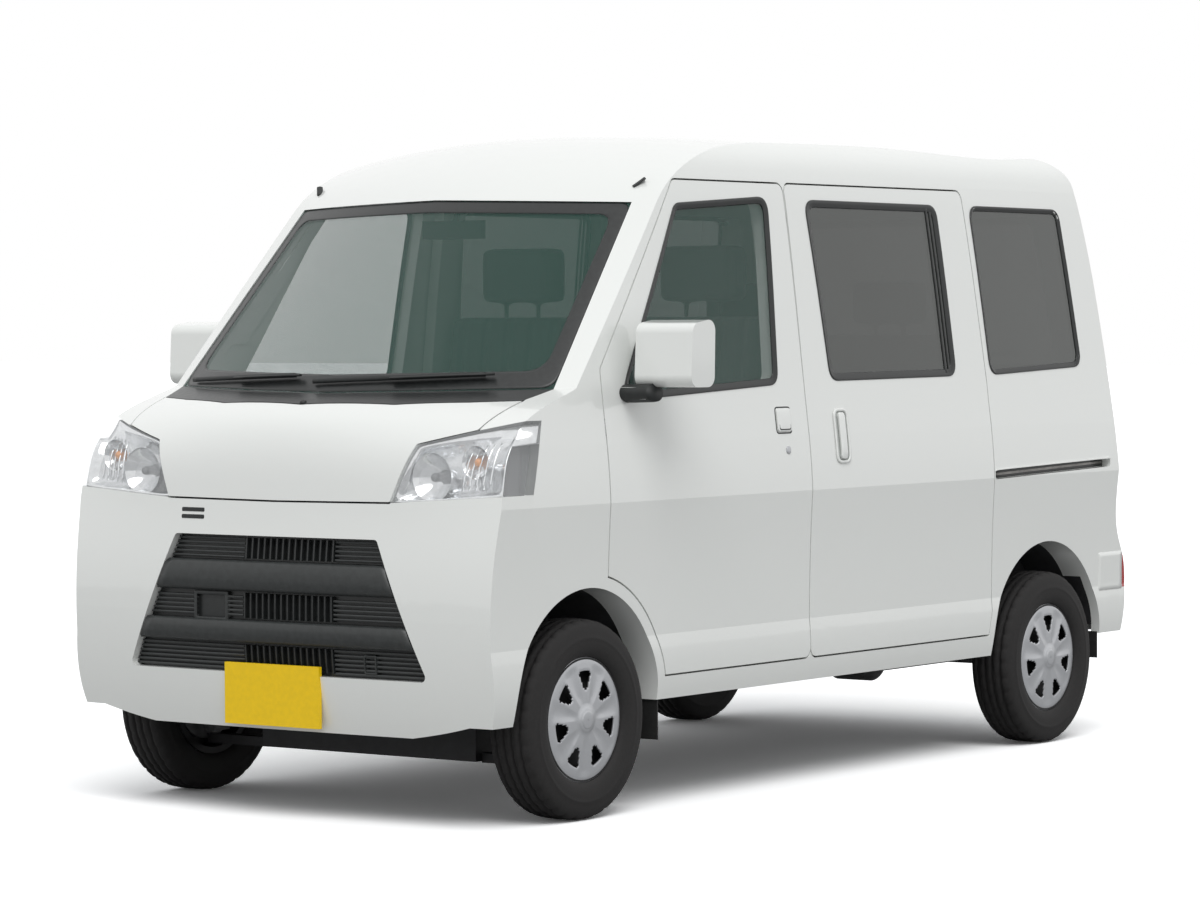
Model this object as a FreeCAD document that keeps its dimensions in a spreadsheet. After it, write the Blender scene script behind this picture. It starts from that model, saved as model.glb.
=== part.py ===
"""A kei-class microvan with a high roof, right-hand drive, built as an assembly of separate pieces.

Millimetres. +Z is up, the front faces -Y, +X is the vehicle's own left side.
The origin is on the ground, at the middle of the length and width.
"""
import FreeCAD, Part
import math
import os
import Sketcher

Vector = FreeCAD.Vector

# ---------------------------------------------------------------- driving dimensions
DIMENSIONS = [
    # overall
    ("overall_length", 3395, "bumper to bumper"),
    ("overall_width", 1475, "body without mirrors"),
    ("overall_height", 1875, "ground to the top of the roof"),
    ("wheelbase", 2450, "front axle to rear axle"),
    ("front_overhang", 449, "bumper to front axle"),
    # running gear
    ("track_front", 1305, "between tyre centres"),
    ("track_rear", 1305, "between tyre centres"),
    ("tyre_radius", 268.5, "outer radius, 145/80R12"),
    ("tyre_width", 145, "section width"),
    ("rim_radius", 165, "rim flange"),
    ("rim_width", 112, "over the flanges"),
    ("bead_radius", 152.4, "12 inch bead seat"),
    ("bore_radius", 30, "hub bore of a rim"),
    ("hub_clearance", 0.05, "rim bore over hub spigot"),
    ("disc_thickness", 8, "wheel disc"),
    ("steer_top_x", 505, "strut top mount, from the centre plane"),
    ("steer_top_z", 606, "strut top mount, above ground"),
    ("steer_ball_x", 600, "lower ball joint, from the centre plane"),
    ("steer_ball_z", 150, "lower ball joint, above ground"),
    ("strut_radius", 23, "strut tube"),
    ("axle_tube_radius", 32, "rear axle tube"),
    ("diff_radius", 105, "differential housing"),
    # body shell
    ("skin_depth", 30, "bumper, bonnet and fender"),
    ("roof_thickness", 35, "roof with its lining"),
    ("door_thickness", 50, "door with its trim"),
    ("frame_depth", 92, "side frame round the doors"),
    ("seal_land", 42, "frame that shows inside a closed door"),
    ("panel_gap", 5, "shut line"),
    ("glass_thickness", 5, "all windows"),
    ("glass_inset", 4, "glass below the panel's surface"),
    ("glass_clearance", 0.3, "glass to its frame"),
    ("drip_height", 1727, "seam between sides and roof"),
    ("low_crease", 475, "crease low on the doors"),
    ("waist_crease", 842, "widest line of the body"),
    ("shoulder", 1000, "line above which the sides lean in"),
    ("belt_height", 1140, "bottom of the windscreen"),
    ("header_height", 1668, "top of the windscreen"),
    ("bonnet_low", 850, "bonnet's lower edge"),
    ("bumper_split", 547, "seam across the bumper corners"),
    ("sill_low", 298, "bottom of the sill"),
    ("door_low", 365, "bottom of the doors"),
    ("door_front", -1160, "front edge of the front door at the waist"),
    ("pillar_b", -180, "gap between front and sliding door"),
    ("sliding_rear", 832, "rear edge of the sliding door"),
    ("arch_radius", 318, "wheel opening"),
    ("arch_height", 302, "centre of the wheel openings"),
    ("rear_arch_radius", 332, "rear wheel opening"),
    ("rear_arch_shift", -28, "rear opening's centre, forward of the axle"),
    ("door_arch_radius", 356, "front door's cut round the wheel"),
    ("rear_bumper_top", 592, "top of the rear bumper"),
    ("rear_bumper_front", 1440, "front edge of the rear bumper at its top"),
    ("lid_thickness", 8, "fuel lid"),
    ("lid_recess", 8.9, "depth of the pocket behind the fuel lid"),
    ("plate_width", 330, "number plate"),
    ("plate_height", 165, "number plate"),
    # inside and below
    ("rail_spacing", 700, "chassis rails, centre to centre"),
    ("rail_width", 56, "chassis rail"),
    ("rail_height", 84, "chassis rail"),
    ("rail_kick", 140, "rise of the rails over the rear axle"),
    ("cab_floor", 440, "cab floor surface"),
    ("load_floor", 655, "load floor surface"),
    ("floor_thickness", 14, "floor"),
    ("deck_height", 10, "raised flat load deck behind the rear seat"),
    ("riser", -800, "front of the engine cover under the seats"),
    ("floor_half_width", 632, "floor, to the side frame"),
    ("seat_width", 480, "front seat"),
    ("seat_offset", 330, "front seat, from the centre plane"),
    ("cushion_thickness", 130, "front seat cushion"),
    ("bench_width", 1120, "rear bench"),
    ("wheel_ring_radius", 180, "steering wheel, to the rim's centre"),
    ("wheel_ring_section", 14, "steering wheel rim"),
    ("column_tilt", 40, "steering column from vertical, in degrees"),
]

doc = FreeCAD.newDocument("microvan")
sheet = doc.addObject("Spreadsheet::Sheet", "dims")
for row, (alias, value, meaning) in enumerate(DIMENSIONS, start=1):
    sheet.set(f"A{row}", meaning)
    sheet.set(f"B{row}", str(value))
    sheet.setAlias(f"B{row}", alias)
doc.recompute()


def dim(alias):
    """A driving dimension's value."""
    return float(sheet.get(alias))


FRONT = -dim("overall_length") / 2
REAR = dim("overall_length") / 2
AXLE_FRONT = FRONT + dim("front_overhang")
AXLE_REAR = AXLE_FRONT + dim("wheelbase")
HALF = dim("overall_width") / 2
TOP = dim("overall_height")
GAP = dim("panel_gap")
HUB_HEIGHT = dim("tyre_radius")

NODES = []


# ---------------------------------------------------------------- helpers
def node(obj, label):
    """Marks obj as a piece of the van, exported under its label."""
    obj.Label = label
    NODES.append(obj)
    return obj


def feature(label, shape):
    """A piece whose shape is worked out by Part's own functions."""
    obj = doc.addObject("Part::Feature", label)
    obj.Shape = shape
    return node(obj, label)


def bind(obj, **expressions):
    """Binds properties to expressions on the sheet; __ in a name stands for a dot."""
    for name, expression in expressions.items():
        obj.setExpression(name.replace("__", "."), expression)
    return obj


def box(name, size, corner):
    """A Part::Box with its three sizes and its low corner as expressions."""
    obj = doc.addObject("Part::Box", name)
    bind(obj, Length=size[0], Width=size[1], Height=size[2])
    return place(obj, corner)


def place(obj, corner):
    return bind(obj, Placement__Base__x=corner[0], Placement__Base__y=corner[1], Placement__Base__z=corner[2])


def cylinder_x(name, radius, length, start):
    """A Part::Cylinder along +X from its start point."""
    obj = doc.addObject("Part::Cylinder", name)
    bind(obj, Radius=radius, Height=length)
    obj.Placement = FreeCAD.Placement(Vector(), FreeCAD.Rotation(Vector(0, 1, 0), 90))
    return place(obj, start)


def cylinder_y(name, radius, length, start):
    """A Part::Cylinder along +Y from its start point."""
    obj = doc.addObject("Part::Cylinder", name)
    bind(obj, Radius=radius, Height=length)
    obj.Placement = FreeCAD.Placement(Vector(), FreeCAD.Rotation(Vector(1, 0, 0), -90))
    return place(obj, start)


def cylinder_z(name, radius, length, start):
    obj = doc.addObject("Part::Cylinder", name)
    bind(obj, Radius=radius, Height=length)
    return place(obj, start)


def fused(name, *objects):
    obj = doc.addObject("Part::MultiFuse", name)
    obj.Shapes = list(objects)
    return obj


def cut(name, base, tool):
    obj = doc.addObject("Part::Cut", name)
    obj.Base, obj.Tool = base, tool
    return obj


def compound(name, *objects):
    """Pieces that share a node without touching."""
    obj = doc.addObject("Part::Compound", name)
    obj.Links = list(objects)
    return obj


def mirrored(name, source):
    """The same piece on the other side of the centre plane."""
    obj = doc.addObject("Part::Mirroring", name)
    obj.Source = source
    obj.Base, obj.Normal = Vector(), Vector(1, 0, 0)
    return obj


def profile(body, name, role, corners):
    """A closed sketch of straight lines on one of the body's origin planes, each corner bound to the sheet."""
    sketch = body.newObject("Sketcher::SketchObject", name)
    plane = [f for f in body.Origin.OriginFeatures if f.Role == role][0]
    sketch.AttachmentSupport = [(plane, "")]
    sketch.MapMode = "FlatFace"
    values = [(evaluate(a), evaluate(b)) for a, b in corners]
    count = len(corners)
    for i in range(count):
        (a, b), (c, d) = values[i], values[(i + 1) % count]
        sketch.addGeometry(Part.LineSegment(Vector(a, b, 0), Vector(c, d, 0)), False)
    for i in range(count):
        sketch.addConstraint(Sketcher.Constraint("Coincident", i, 2, (i + 1) % count, 1))
    for i, corner in enumerate(corners):
        for letter, kind, k in (("x", "DistanceX", 0), ("y", "DistanceY", 1)):
            if abs(values[i][k]) < 1e-9:
                target = -2 if k == 0 else -1
                sketch.addConstraint(Sketcher.Constraint("PointOnObject", i, 1, target))
                continue
            number = sketch.addConstraint(Sketcher.Constraint(kind, -1, 1, i, 1, values[i][k]))
            sketch.renameConstraint(number, f"{letter}{i}")
            sketch.setExpression(f"Constraints.{letter}{i}", corner[k])
    return sketch


def evaluate(expression):
    """The value of an expression on the sheet."""
    return float(sheet.evalExpression(expression))


def padded(name, role, corners, length, midplane=True):
    """A PartDesign body: one straight-lined sketch, padded."""
    body = doc.addObject("PartDesign::Body", name)
    sketch = profile(body, name + "_profile", role, corners)
    pad = body.newObject("PartDesign::Pad", name + "_pad")
    pad.Profile = sketch
    pad.Midplane = midplane
    bind(pad, Length=length)
    return body


def revolved(name, corners):
    """A PartDesign body: a profile (along the axle, radius) turned round the X axis."""
    body = doc.addObject("PartDesign::Body", name)
    sketch = profile(body, name + "_profile", "XY_Plane", corners)
    turn = body.newObject("PartDesign::Revolution", name + "_turn")
    turn.Profile = sketch
    turn.ReferenceAxis = (sketch, ["H_Axis"])
    turn.Angle = 360
    return body


def spline(points):
    curve = Part.BSplineCurve()
    curve.interpolate([Vector(*p) for p in points])
    return curve.toShape()


def polygon(points):
    corners = [Vector(*p) for p in points]
    return Part.makePolygon(corners + corners[:1])


def rounded(points, radius):
    """A closed flat wire with every corner rounded; points are Vectors, radius one number or one per corner."""
    count = len(points)
    radii = [radius] * count if isinstance(radius, (int, float)) else radius
    edges, last_end, first_start = [], None, None
    for i in range(count):
        before, here, after = points[i - 1], points[i], points[(i + 1) % count]
        back, ahead = (before - here).normalize(), (after - here).normalize()
        half_angle = math.acos(max(-1.0, min(1.0, back.dot(ahead)))) / 2
        if radii[i] < 0.01 or abs(half_angle - math.pi / 2) < 0.01:
            start = end = here
        else:
            reach = radii[i] / math.tan(half_angle)
            start, end = here + back * reach, here + ahead * reach
            bisector = (back + ahead).normalize()
            centre = here + bisector * (radii[i] / math.sin(half_angle))
            middle = centre - bisector * radii[i]
        if last_end is not None and (start - last_end).Length > 1e-6:
            edges.append(Part.makeLine(last_end, start))
        if first_start is None:
            first_start = start
        if end is not start:
            edges.append(Part.Arc(start, middle, end).toShape())
        last_end = end
    edges.append(Part.makeLine(last_end, first_start))
    return Part.Wire(edges)


def side_prism(outline, radius=0, low=0, high=1000):
    """A solid from a (y, z) outline, from x = low to x = high."""
    wire = rounded([Vector(low, y, z) for y, z in outline], radius)
    return Part.Face(wire).extrude(Vector(high - low, 0, 0))


def front_prism(outline, radius=0, low=-2000, high=0):
    """A solid from an (x, z) outline, from y = low to y = high."""
    wire = rounded([Vector(x, low, z) for x, z in outline], radius)
    return Part.Face(wire).extrude(Vector(0, high - low, 0))


def slab(x, y, z):
    """A plain block between two limits on each axis."""
    return Part.makeBox(x[1] - x[0], y[1] - y[0], z[1] - z[0], Vector(x[0], y[0], z[0]))


def disc_x(y, z, radius, low, high):
    """A cylinder along X."""
    return Part.makeCylinder(radius, high - low, Vector(low, y, z), Vector(1, 0, 0))


def solved(obj):
    """An object's shape after a recompute."""
    doc.recompute()
    return obj.Shape


def largest(shape):
    """The shape as one solid, without stray slivers."""
    return max(shape.Solids, key=lambda solid: solid.Volume)


def mirror_shape(shape):
    return shape.mirror(Vector(), Vector(1, 0, 0))


def both_sides(label, *shapes):
    """Like pieces on both sides of the van that share one node."""
    return feature(label, Part.makeCompound([s for shape in shapes for s in (shape, mirror_shape(shape))]))


# ---------------------------------------------------------------- the outer form of the body
def inset_outline(points, distance):
    """A closed (y, z) outline moved inwards by distance, corner by corner. Points run anticlockwise."""
    moved = []
    count = len(points)
    for i in range(count):
        (y0, z0), (y1, z1), (y2, z2) = points[i - 1], points[i], points[(i + 1) % count]
        a = Vector(y1 - y0, z1 - z0, 0).normalize()
        b = Vector(y2 - y1, z2 - z1, 0).normalize()
        normal = Vector(-(a.y + b.y), a.x + b.x, 0)
        normal = normal.normalize() * (distance / max(0.4, math.sqrt((1 + a.dot(b)) / 2)))
        moved.append((y1 + normal.x, z1 + normal.y))
    return moved


def long_section(x, inset):
    """The body's outline in a plane at x: nose, windscreen, roof, tail and floor as five edges."""
    bow = (x / 600) ** 2
    belt, header, drip = dim("belt_height"), dim("header_height"), dim("drip_height")
    tail = [
        (REAR - 30 - 22 * bow, 290),
        (REAR - 7 - 22 * bow, 400),
        (REAR - 8 - 22 * bow, 560),
        (REAR - 44 - 24 * bow, 640),
        (REAR - 46 - 26 * bow, 860),
        (REAR - 62 - 30 * bow, belt),
        (REAR - 108 - 34 * bow, 1500),
        (REAR - 150 - 40 * bow, drip),
    ]
    roof = [
        (REAR - 168 - 40 * bow, TOP - 84 - 12 * bow),
        (REAR - 235 - 34 * bow, TOP - 38 - 18 * bow),
        (REAR - 420 - 10 * bow, TOP - 20 - 26 * bow),
        (600, TOP - 5 - 34 * bow),
        (0, TOP - 1 - 38 * bow),
        (-420 + 30 * bow, TOP - 12 - 42 * bow),
        (-680 + 70 * bow, TOP - 48 - 46 * bow),
        (-850 + 105 * bow, TOP - 118 - 30 * bow),
    ]
    screen_top = (-978 + 134 * bow, header - 14 * bow)
    screen_low = (-1498 + 160 * bow, belt - 4 + 10 * bow)
    nose = [
        (-1566 + 150 * bow, 1108 + 12 * bow),
        (-1630 + 92 * bow, 1062 + 8 * bow),
        (-1661 + 44 * bow, 1000),
        (-1678 + 24 * bow, dim("bonnet_low")),
        (-1692 + 17 * bow, 700),
        (FRONT + 4 + 15 * bow, 420),
        (FRONT + 34 + 15 * bow, 238),
    ]
    outline = inset_outline(tail + roof + [screen_top, screen_low] + nose, inset)
    points = [(x, y, z) for y, z in outline]
    a, b = len(tail), len(tail) + len(roof)
    return Part.Wire([
        spline(points[: a]),
        spline(points[a - 1 : b + 1]),
        Part.makeLine(Vector(*points[b]), Vector(*points[b + 1])),
        spline(points[b + 1 :]),
        Part.makeLine(Vector(*points[-1]), Vector(*points[0])),
    ])


def cross_section(inset):
    """The body's outline across the width, wide at the waist and leaning in above it."""
    sill = [(HALF - 48, 225), (HALF - 19, 300), (HALF - 9, 375), (HALF - 13, dim("low_crease"))]
    panel = [sill[-1], (HALF - 11, 600), (HALF - 6, 740), (HALF, dim("waist_crease"))]
    waist = [panel[-1], (HALF - 4, 915), (HALF - 12, dim("shoulder"))]
    upper = [
        waist[-1],
        (HALF - 30, 1150),
        (HALF - 60, 1420),
        (HALF - 88, 1640),
        (HALF - 103, dim("drip_height")),
        (HALF - 124, 1785),
        (HALF - 172, 1835),
        (HALF - 262, 1866),
    ]
    sides = [spline([(x - inset, 0, z) for x, z in points]) for points in (sill, panel, waist, upper)]
    others = [edge.mirror(Vector(), Vector(1, 0, 0)) for edge in reversed(sides)]
    low, high = sill[0], upper[-1]
    ring = Part.Wire([
        Part.makeLine(Vector(inset - low[0], 0, low[1]), Vector(low[0] - inset, 0, low[1])),
        *sides,
        Part.makeLine(Vector(high[0] - inset, 0, high[1]), Vector(high[0] - inset, 0, high[1] + 60)),
        Part.makeLine(Vector(high[0] - inset, 0, high[1] + 60), Vector(inset - high[0], 0, high[1] + 60)),
        Part.makeLine(Vector(inset - high[0], 0, high[1] + 60), Vector(inset - high[0], 0, high[1])),
        *others,
    ])
    ring.translate(Vector(0, FRONT - 100, 0))
    return Part.Face(ring).extrude(Vector(0, REAR - FRONT + 200, 0))


def plan_section(inset):
    """The body's outline from above, leaning forward at the tail, which rounds the four corners."""
    wires = []
    for z, lean in ((150, 0), (640, 42), (1950, 240)):
        half, front, rear = HALF + 24 - inset, FRONT - 40 + inset, REAR + 26 - lean - inset
        corners = [(-half, front), (half, front), (half, rear), (-half, rear)]
        cuts = [120, 120, 105, 105]
        wires.append(rounded([Vector(x, y, z) for x, y in corners], cuts))
    return Part.makeLoft(wires, True, True)


def hull(inset):
    """The closed outer form of the body, moved inwards by inset."""
    stations = (-760, -520, -260, 0, 260, 520, 760)
    lengthways = Part.makeLoft([long_section(x, inset) for x in stations], True, False)
    return largest(lengthways.common(cross_section(inset)).common(plan_section(inset)))


HULLS = {depth: hull(depth) for depth in sorted({
    0,
    dim("skin_depth"),
    dim("roof_thickness"),
    dim("door_thickness"),
    dim("door_thickness") + dim("glass_clearance"),
    dim("door_thickness") + GAP,
    dim("skin_depth") + dim("glass_clearance"),
    dim("frame_depth"),
    dim("glass_inset"),
    dim("glass_inset") + dim("glass_thickness"),
    dim("lid_thickness"),
    dim("lid_recess"),
})}


def shell(outer, inner):
    """The space between two depths below the body's surface."""
    return HULLS[outer].cut(HULLS[inner])


SKIN = shell(0, dim("skin_depth"))
FRAME = shell(0, dim("frame_depth"))
DOOR = shell(0, dim("door_thickness"))
RECESS = shell(0, dim("door_thickness") + GAP)
PANE = shell(dim("glass_inset"), dim("glass_inset") + dim("glass_thickness"))
CLEARANCE = dim("glass_clearance")

# ---------------------------------------------------------------- outlines seen from the side, (y, z)
BELT, HEADER, DRIP = dim("belt_height"), dim("header_height"), dim("drip_height")
PILLAR_B, DOOR_FRONT = dim("pillar_b"), dim("door_front")
DOOR_LOW, DOOR_TOP = dim("door_low"), dim("drip_height") - 10
SLIDING_REAR = dim("sliding_rear")
HALF_GAP = GAP / 2

FRONT_DOOR = [
    (DOOR_FRONT, DOOR_LOW), (PILLAR_B - HALF_GAP, DOOR_LOW), (PILLAR_B - HALF_GAP, BELT),
    (PILLAR_B - HALF_GAP - 6, DOOR_TOP), (DOOR_FRONT + 430, DOOR_TOP), (DOOR_FRONT, BELT + 58),
]
FRONT_WINDOW = [
    (DOOR_FRONT + 78, BELT - 24), (PILLAR_B - 138, BELT + 10),
    (PILLAR_B - 97, HEADER + 8), (DOOR_FRONT + 424, HEADER - 20),
]
SLIDING_DOOR = [
    (PILLAR_B + HALF_GAP, DOOR_LOW), (SLIDING_REAR, DOOR_LOW), (SLIDING_REAR, BELT),
    (SLIDING_REAR - 38, DOOR_TOP), (PILLAR_B + HALF_GAP, DOOR_TOP),
]
SLIDING_WINDOW = [
    (PILLAR_B + 143, BELT + 16), (SLIDING_REAR - 176, BELT + 21),
    (SLIDING_REAR - 196, HEADER), (PILLAR_B + 100, HEADER + 2),
]
QUARTER_WINDOW = [
    (SLIDING_REAR - 4 + 36, BELT + 21), (REAR - 277, BELT + 41), (REAR - 323, HEADER), (SLIDING_REAR + 3, HEADER + 2),
]
FENDER = [
    (AXLE_FRONT - 169, 560), (DOOR_FRONT - GAP, 560), (DOOR_FRONT - GAP, 905),
    (DOOR_FRONT - GAP, BELT + 56), (-1345, BELT + 10), (-1350, 1180), (-1570, 1180), (-1570, 1026),
    (-1510, 1044), (-1442, 1069), (-1503, 876), (-1510, 831), (AXLE_FRONT - 169, 612),
]
LAMP_EDGE = [(-1900, 800), (-1527, 800), (-1503, 876), (-1442, 1069), (-1410, 1170), (-1900, 1170)]
BUMPER_EDGE = [
    (-1900, 150), (AXLE_FRONT - 169, 150), (AXLE_FRONT - 169, 612),
    (-1510, 831), (-1503, 876), (-1503, 960), (-1900, 960),
]

# ---------------------------------------------------------------- outlines seen from the front, (x, z)
SCREEN = [(-656, BELT + 8), (0, BELT - 4), (656, BELT + 8), (586, HEADER - 14), (0, HEADER), (-586, HEADER - 14)]
HEADER_PANEL = [
    (-656, BELT + 8), (0, BELT - 4), (656, BELT + 8), (586, HEADER - 14),
    (576, DRIP), (576, DRIP + 30), (-576, DRIP + 30), (-576, DRIP), (-586, HEADER - 14),
]
BONNET = [
    (-389, 854), (0, 851), (389, 854), (453, 1007), (610, 1044), (632, 1122), (632, BELT),
    (-632, BELT), (-632, 1122), (-610, 1044), (-453, 1007),
]
# The bonnet's rear edge, as (x, distance behind the front of the vehicle).
BONNET_REAR = [(0, 131), (300, 164), (500, 232), (600, 276), (640, 296)]
LAMP = [(389, 854), (800, 880), (800, 1088), (610, 1044), (453, 1007)]
GRILLE_FRAME = [(-594, 200), (594, 200), (594, 248), (362, 779), (-362, 779), (-594, 248)]
GRILLE_HOLE = [(-521, 389), (521, 389), (352, 757), (-352, 757)]
TAILGATE = [
    (-648, 612), (648, 612), (652, 860), (628, BELT), (560, DRIP - 5), (-560, DRIP - 5), (-628, BELT), (-652, 860),
]
TAIL_WINDOW = [(-545, BELT + 20), (545, BELT + 20), (490, HEADER - 15), (-490, HEADER - 15)]
TAIL_LAMP = [(400, 465), (800, 465), (800, 578), (400, 578)]

# ---------------------------------------------------------------- openings and clearances of the side frames
REAR_ARCH_Y = AXLE_REAR + dim("rear_arch_shift")
ARCH_Z = dim("arch_height")


def arch_front(radius):
    return disc_x(AXLE_FRONT, ARCH_Z, radius, 300, 1000)


def arch_rear(radius):
    return disc_x(REAR_ARCH_Y, ARCH_Z, radius, 300, 1000)


def front_door_outline(grow, radius):
    """The front door's silhouette from the side, cut round the wheel."""
    prism = side_prism(inset_outline(FRONT_DOOR, -grow), radius, 300)
    return prism.cut(arch_front(dim("door_arch_radius") - grow))


def sliding_door_outline(grow, radius):
    """The sliding door's silhouette from the side, cut round the rear wheel."""
    prism = side_prism(inset_outline(SLIDING_DOOR, -grow), radius, 300)
    return prism.cut(arch_rear(dim("rear_arch_radius") + 34 - grow))


def striker(y, z):
    """A block that closes the gap between a frame and a closed door."""
    near = shell(dim("door_thickness") + CLEARANCE, dim("frame_depth"))
    return near.common(slab((500, 800), (y - 16, y + 16), (z - 30, z + 30)))


def tail_prism(outline, radius=0):
    return front_prism(outline, radius, 1300, 1900)


LAND = dim("seal_land")
SIDE_REGION = front_prism(
    [(dim("floor_half_width"), dim("sill_low")), (900, dim("sill_low")), (900, DRIP), (470, DRIP),
     (500, 1300), (dim("floor_half_width"), 1040)], 0, -1500, 1750,
)
SIDE_OUTLINE = side_prism(
    [(-1205, dim("sill_low")), (1690, dim("sill_low")), (1690, DRIP), (-900, DRIP), (-1500, 1170), (-1350, BELT), (-1205, 1100)], 0, 300,
)
REAR_BUMPER = side_prism(
    [(dim("rear_bumper_front"), 150), (1900, 150), (1900, dim("rear_bumper_top")),
     (dim("rear_bumper_front") - 8, dim("rear_bumper_top"))], 0, -900, 900,
)

side = FRAME.common(SIDE_REGION).common(SIDE_OUTLINE)
side = side.cut(SKIN.common(side_prism(FENDER, 0, 300)))
side = side.cut(front_prism(HEADER_PANEL, 0, -2000, -560))
side = side.cut(arch_front(dim("arch_radius"))).cut(arch_rear(dim("rear_arch_radius")))
for outline, window in ((front_door_outline, FRONT_WINDOW), (sliding_door_outline, SLIDING_WINDOW)):
    side = side.cut(RECESS.common(outline(GAP, 30)))
    side = side.cut(outline(-LAND, 40))
side = side.cut(side_prism(QUARTER_WINDOW, 45, 300))
side = side.cut(RECESS.common(tail_prism(inset_outline(TAILGATE, -GAP), 40)))
side = side.cut(tail_prism(inset_outline(TAILGATE, LAND), 50))
side = side.cut(REAR_BUMPER)
side = side.cut(SKIN.common(side_prism([(840, 838), (1556, 856), (1556, 882), (840, 866)], 8, 300)))
side = side.fuse([striker(PILLAR_B - 26, 900), striker(PILLAR_B + 26, 900), striker(SLIDING_REAR - 24, 950)])
side = largest(side)


FUEL_LID = [(1010, 880), (1150, 880), (1150, 1020), (1010, 1020)]
right_side = mirror_shape(side)
pocket = side_prism(inset_outline(FUEL_LID, -3), 28, 300)
right_side = right_side.cut(mirror_shape(shell(0, dim("lid_recess")).common(pocket)))

feature("side_panel_left", side)
feature("side_panel_right", right_side)


# ---------------------------------------------------------------- doors
def door(outline, window):
    """A door's shell with its window opening, and the glass that fills it."""
    header_space = front_prism(inset_outline(HEADER_PANEL, -GAP), 0, -2000, -400)
    panel = largest(DOOR.common(outline(0, 25)).cut(side_prism(window, 40, 300)).cut(header_space))
    pane = largest(PANE.common(side_prism(inset_outline(window, CLEARANCE), 40, 300)))
    return panel, pane


front_door, front_glass = door(front_door_outline, FRONT_WINDOW)
sliding_door, sliding_glass = door(sliding_door_outline, SLIDING_WINDOW)
quarter_glass = largest(PANE.common(side_prism(inset_outline(QUARTER_WINDOW, CLEARANCE), 45, 300)))

for label, shape in (("front_door", front_door), ("front_door_glass", front_glass), ("sliding_door", sliding_door)):
    feature(label + "_left", shape)
    feature(label + "_right", mirror_shape(shape))
both_sides("side_windows", sliding_glass, quarter_glass)

lid = largest(shell(0, dim("lid_thickness")).common(side_prism(FUEL_LID, 25, 300)))
feature("fuel_lid", mirror_shape(lid))

# ---------------------------------------------------------------- roof, windscreen and nose
tailgate_space = tail_prism(inset_outline(TAILGATE, -GAP), 40)
above_drip = slab((-900, 900), (-1500, 1750), (DRIP, 1950))
header = front_prism(HEADER_PANEL, 0, -2000, -560).cut(front_prism(SCREEN, 0, -2000, -400))
roof = shell(0, dim("roof_thickness")).common(above_drip.fuse(header.common(slab((-900, 900), (-2000, -560), (1100, DRIP)))))
feature("roof", largest(roof))

screen = PANE.common(front_prism(inset_outline(SCREEN, CLEARANCE), 0, -2000, -700))
feature("windscreen", largest(screen))

def bonnet_prism(extra):
    """All that lies ahead of the bonnet's rear edge, moved back by an extra distance."""
    edge = [(x, FRONT + back + extra) for x, back in BONNET_REAR]
    edge = [(-x, y) for x, y in reversed(edge[1:])] + edge
    corners = [(-700, FRONT - 100), (700, FRONT - 100), (700, edge[-1][1])] + edge[::-1] + [(-700, edge[0][1])]
    wire = Part.makePolygon([Vector(x, y, 700) for x, y in corners + corners[:1]])
    return Part.Face(wire).extrude(Vector(0, 0, 600))


bonnet = SKIN.common(front_prism(inset_outline(BONNET, HALF_GAP), 8, -2000, -1250)).common(bonnet_prism(-HALF_GAP))
feature("bonnet", largest(bonnet))

hood_space = front_prism(inset_outline(BONNET, -HALF_GAP), 8, -2000, -1250).common(bonnet_prism(HALF_GAP))
bonnet_space = shell(0, dim("roof_thickness")).common(hood_space)
cowl_outline = [
    (-632, 1060), (632, 1060), (632, 1122), (656, BELT + 8), (0, BELT - 4), (-656, BELT + 8), (-632, 1122),
]
cowl_space = front_prism(cowl_outline, 0, -2000, -1250).cut(bonnet_prism(0))
cowl = SKIN.common(cowl_space).cut(hood_space)
feature("cowl", Part.makeCompound([solid for solid in cowl.Solids if solid.Volume > 1000]))
lamp_side = side_prism(LAMP_EDGE, 0, 0)
lamp_prism = front_prism(LAMP, 0, -2000, -1380).common(lamp_side)
lamp = largest(SKIN.common(lamp_prism))

fender = SKIN.common(side_prism(FENDER, 0, 300))
fender = fender.cut(front_prism(LAMP, 0, -2000, -1380).common(lamp_side)).cut(hood_space)
fender = fender.cut(arch_front(dim("arch_radius"))).cut(front_prism(SCREEN, 0, -2000, -700))
fender = largest(fender.cut(cowl_space))
both_sides("fenders", fender)

bumper = SKIN.common(side_prism(BUMPER_EDGE, 0, -900, 900)).cut(hood_space)
bumper = bumper.cut(slab((-900, 900), (-2000, -1300), (900, 1000)))
bumper = bumper.cut(lamp_prism).cut(mirror_shape(lamp_prism)).cut(front_prism(GRILLE_FRAME, 0, -2000, -1600))
bumper = bumper.cut(arch_front(dim("arch_radius"))).cut(mirror_shape(arch_front(dim("arch_radius"))))
tray = slab((-900, 900), (-1655, -1300), (150, 275))
split = slab((-900, 900), (-2000, -1300), (dim("bumper_split"), 1000))
feature("front_bumper", largest(bumper.common(split)))
lower = bumper.cut(split).cut(tray)
feature("front_bumper_lower", Part.makeCompound(lower.Solids))
PLATE_HALF, PLATE_HEIGHT = dim("plate_width") / 2, dim("plate_height")


def plate(face, direction, low):
    """A blank number plate whose face is at y = face, and the pocket it sits in."""
    near, far = sorted((face, face - 12 * direction))
    solid = slab((-PLATE_HALF, PLATE_HALF), (near, far), (low, low + PLATE_HEIGHT))
    near, far = sorted((face + 60 * direction, face - 12 * direction))
    return solid, slab((-PLATE_HALF, PLATE_HALF), (near, far), (low, low + PLATE_HEIGHT))


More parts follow.
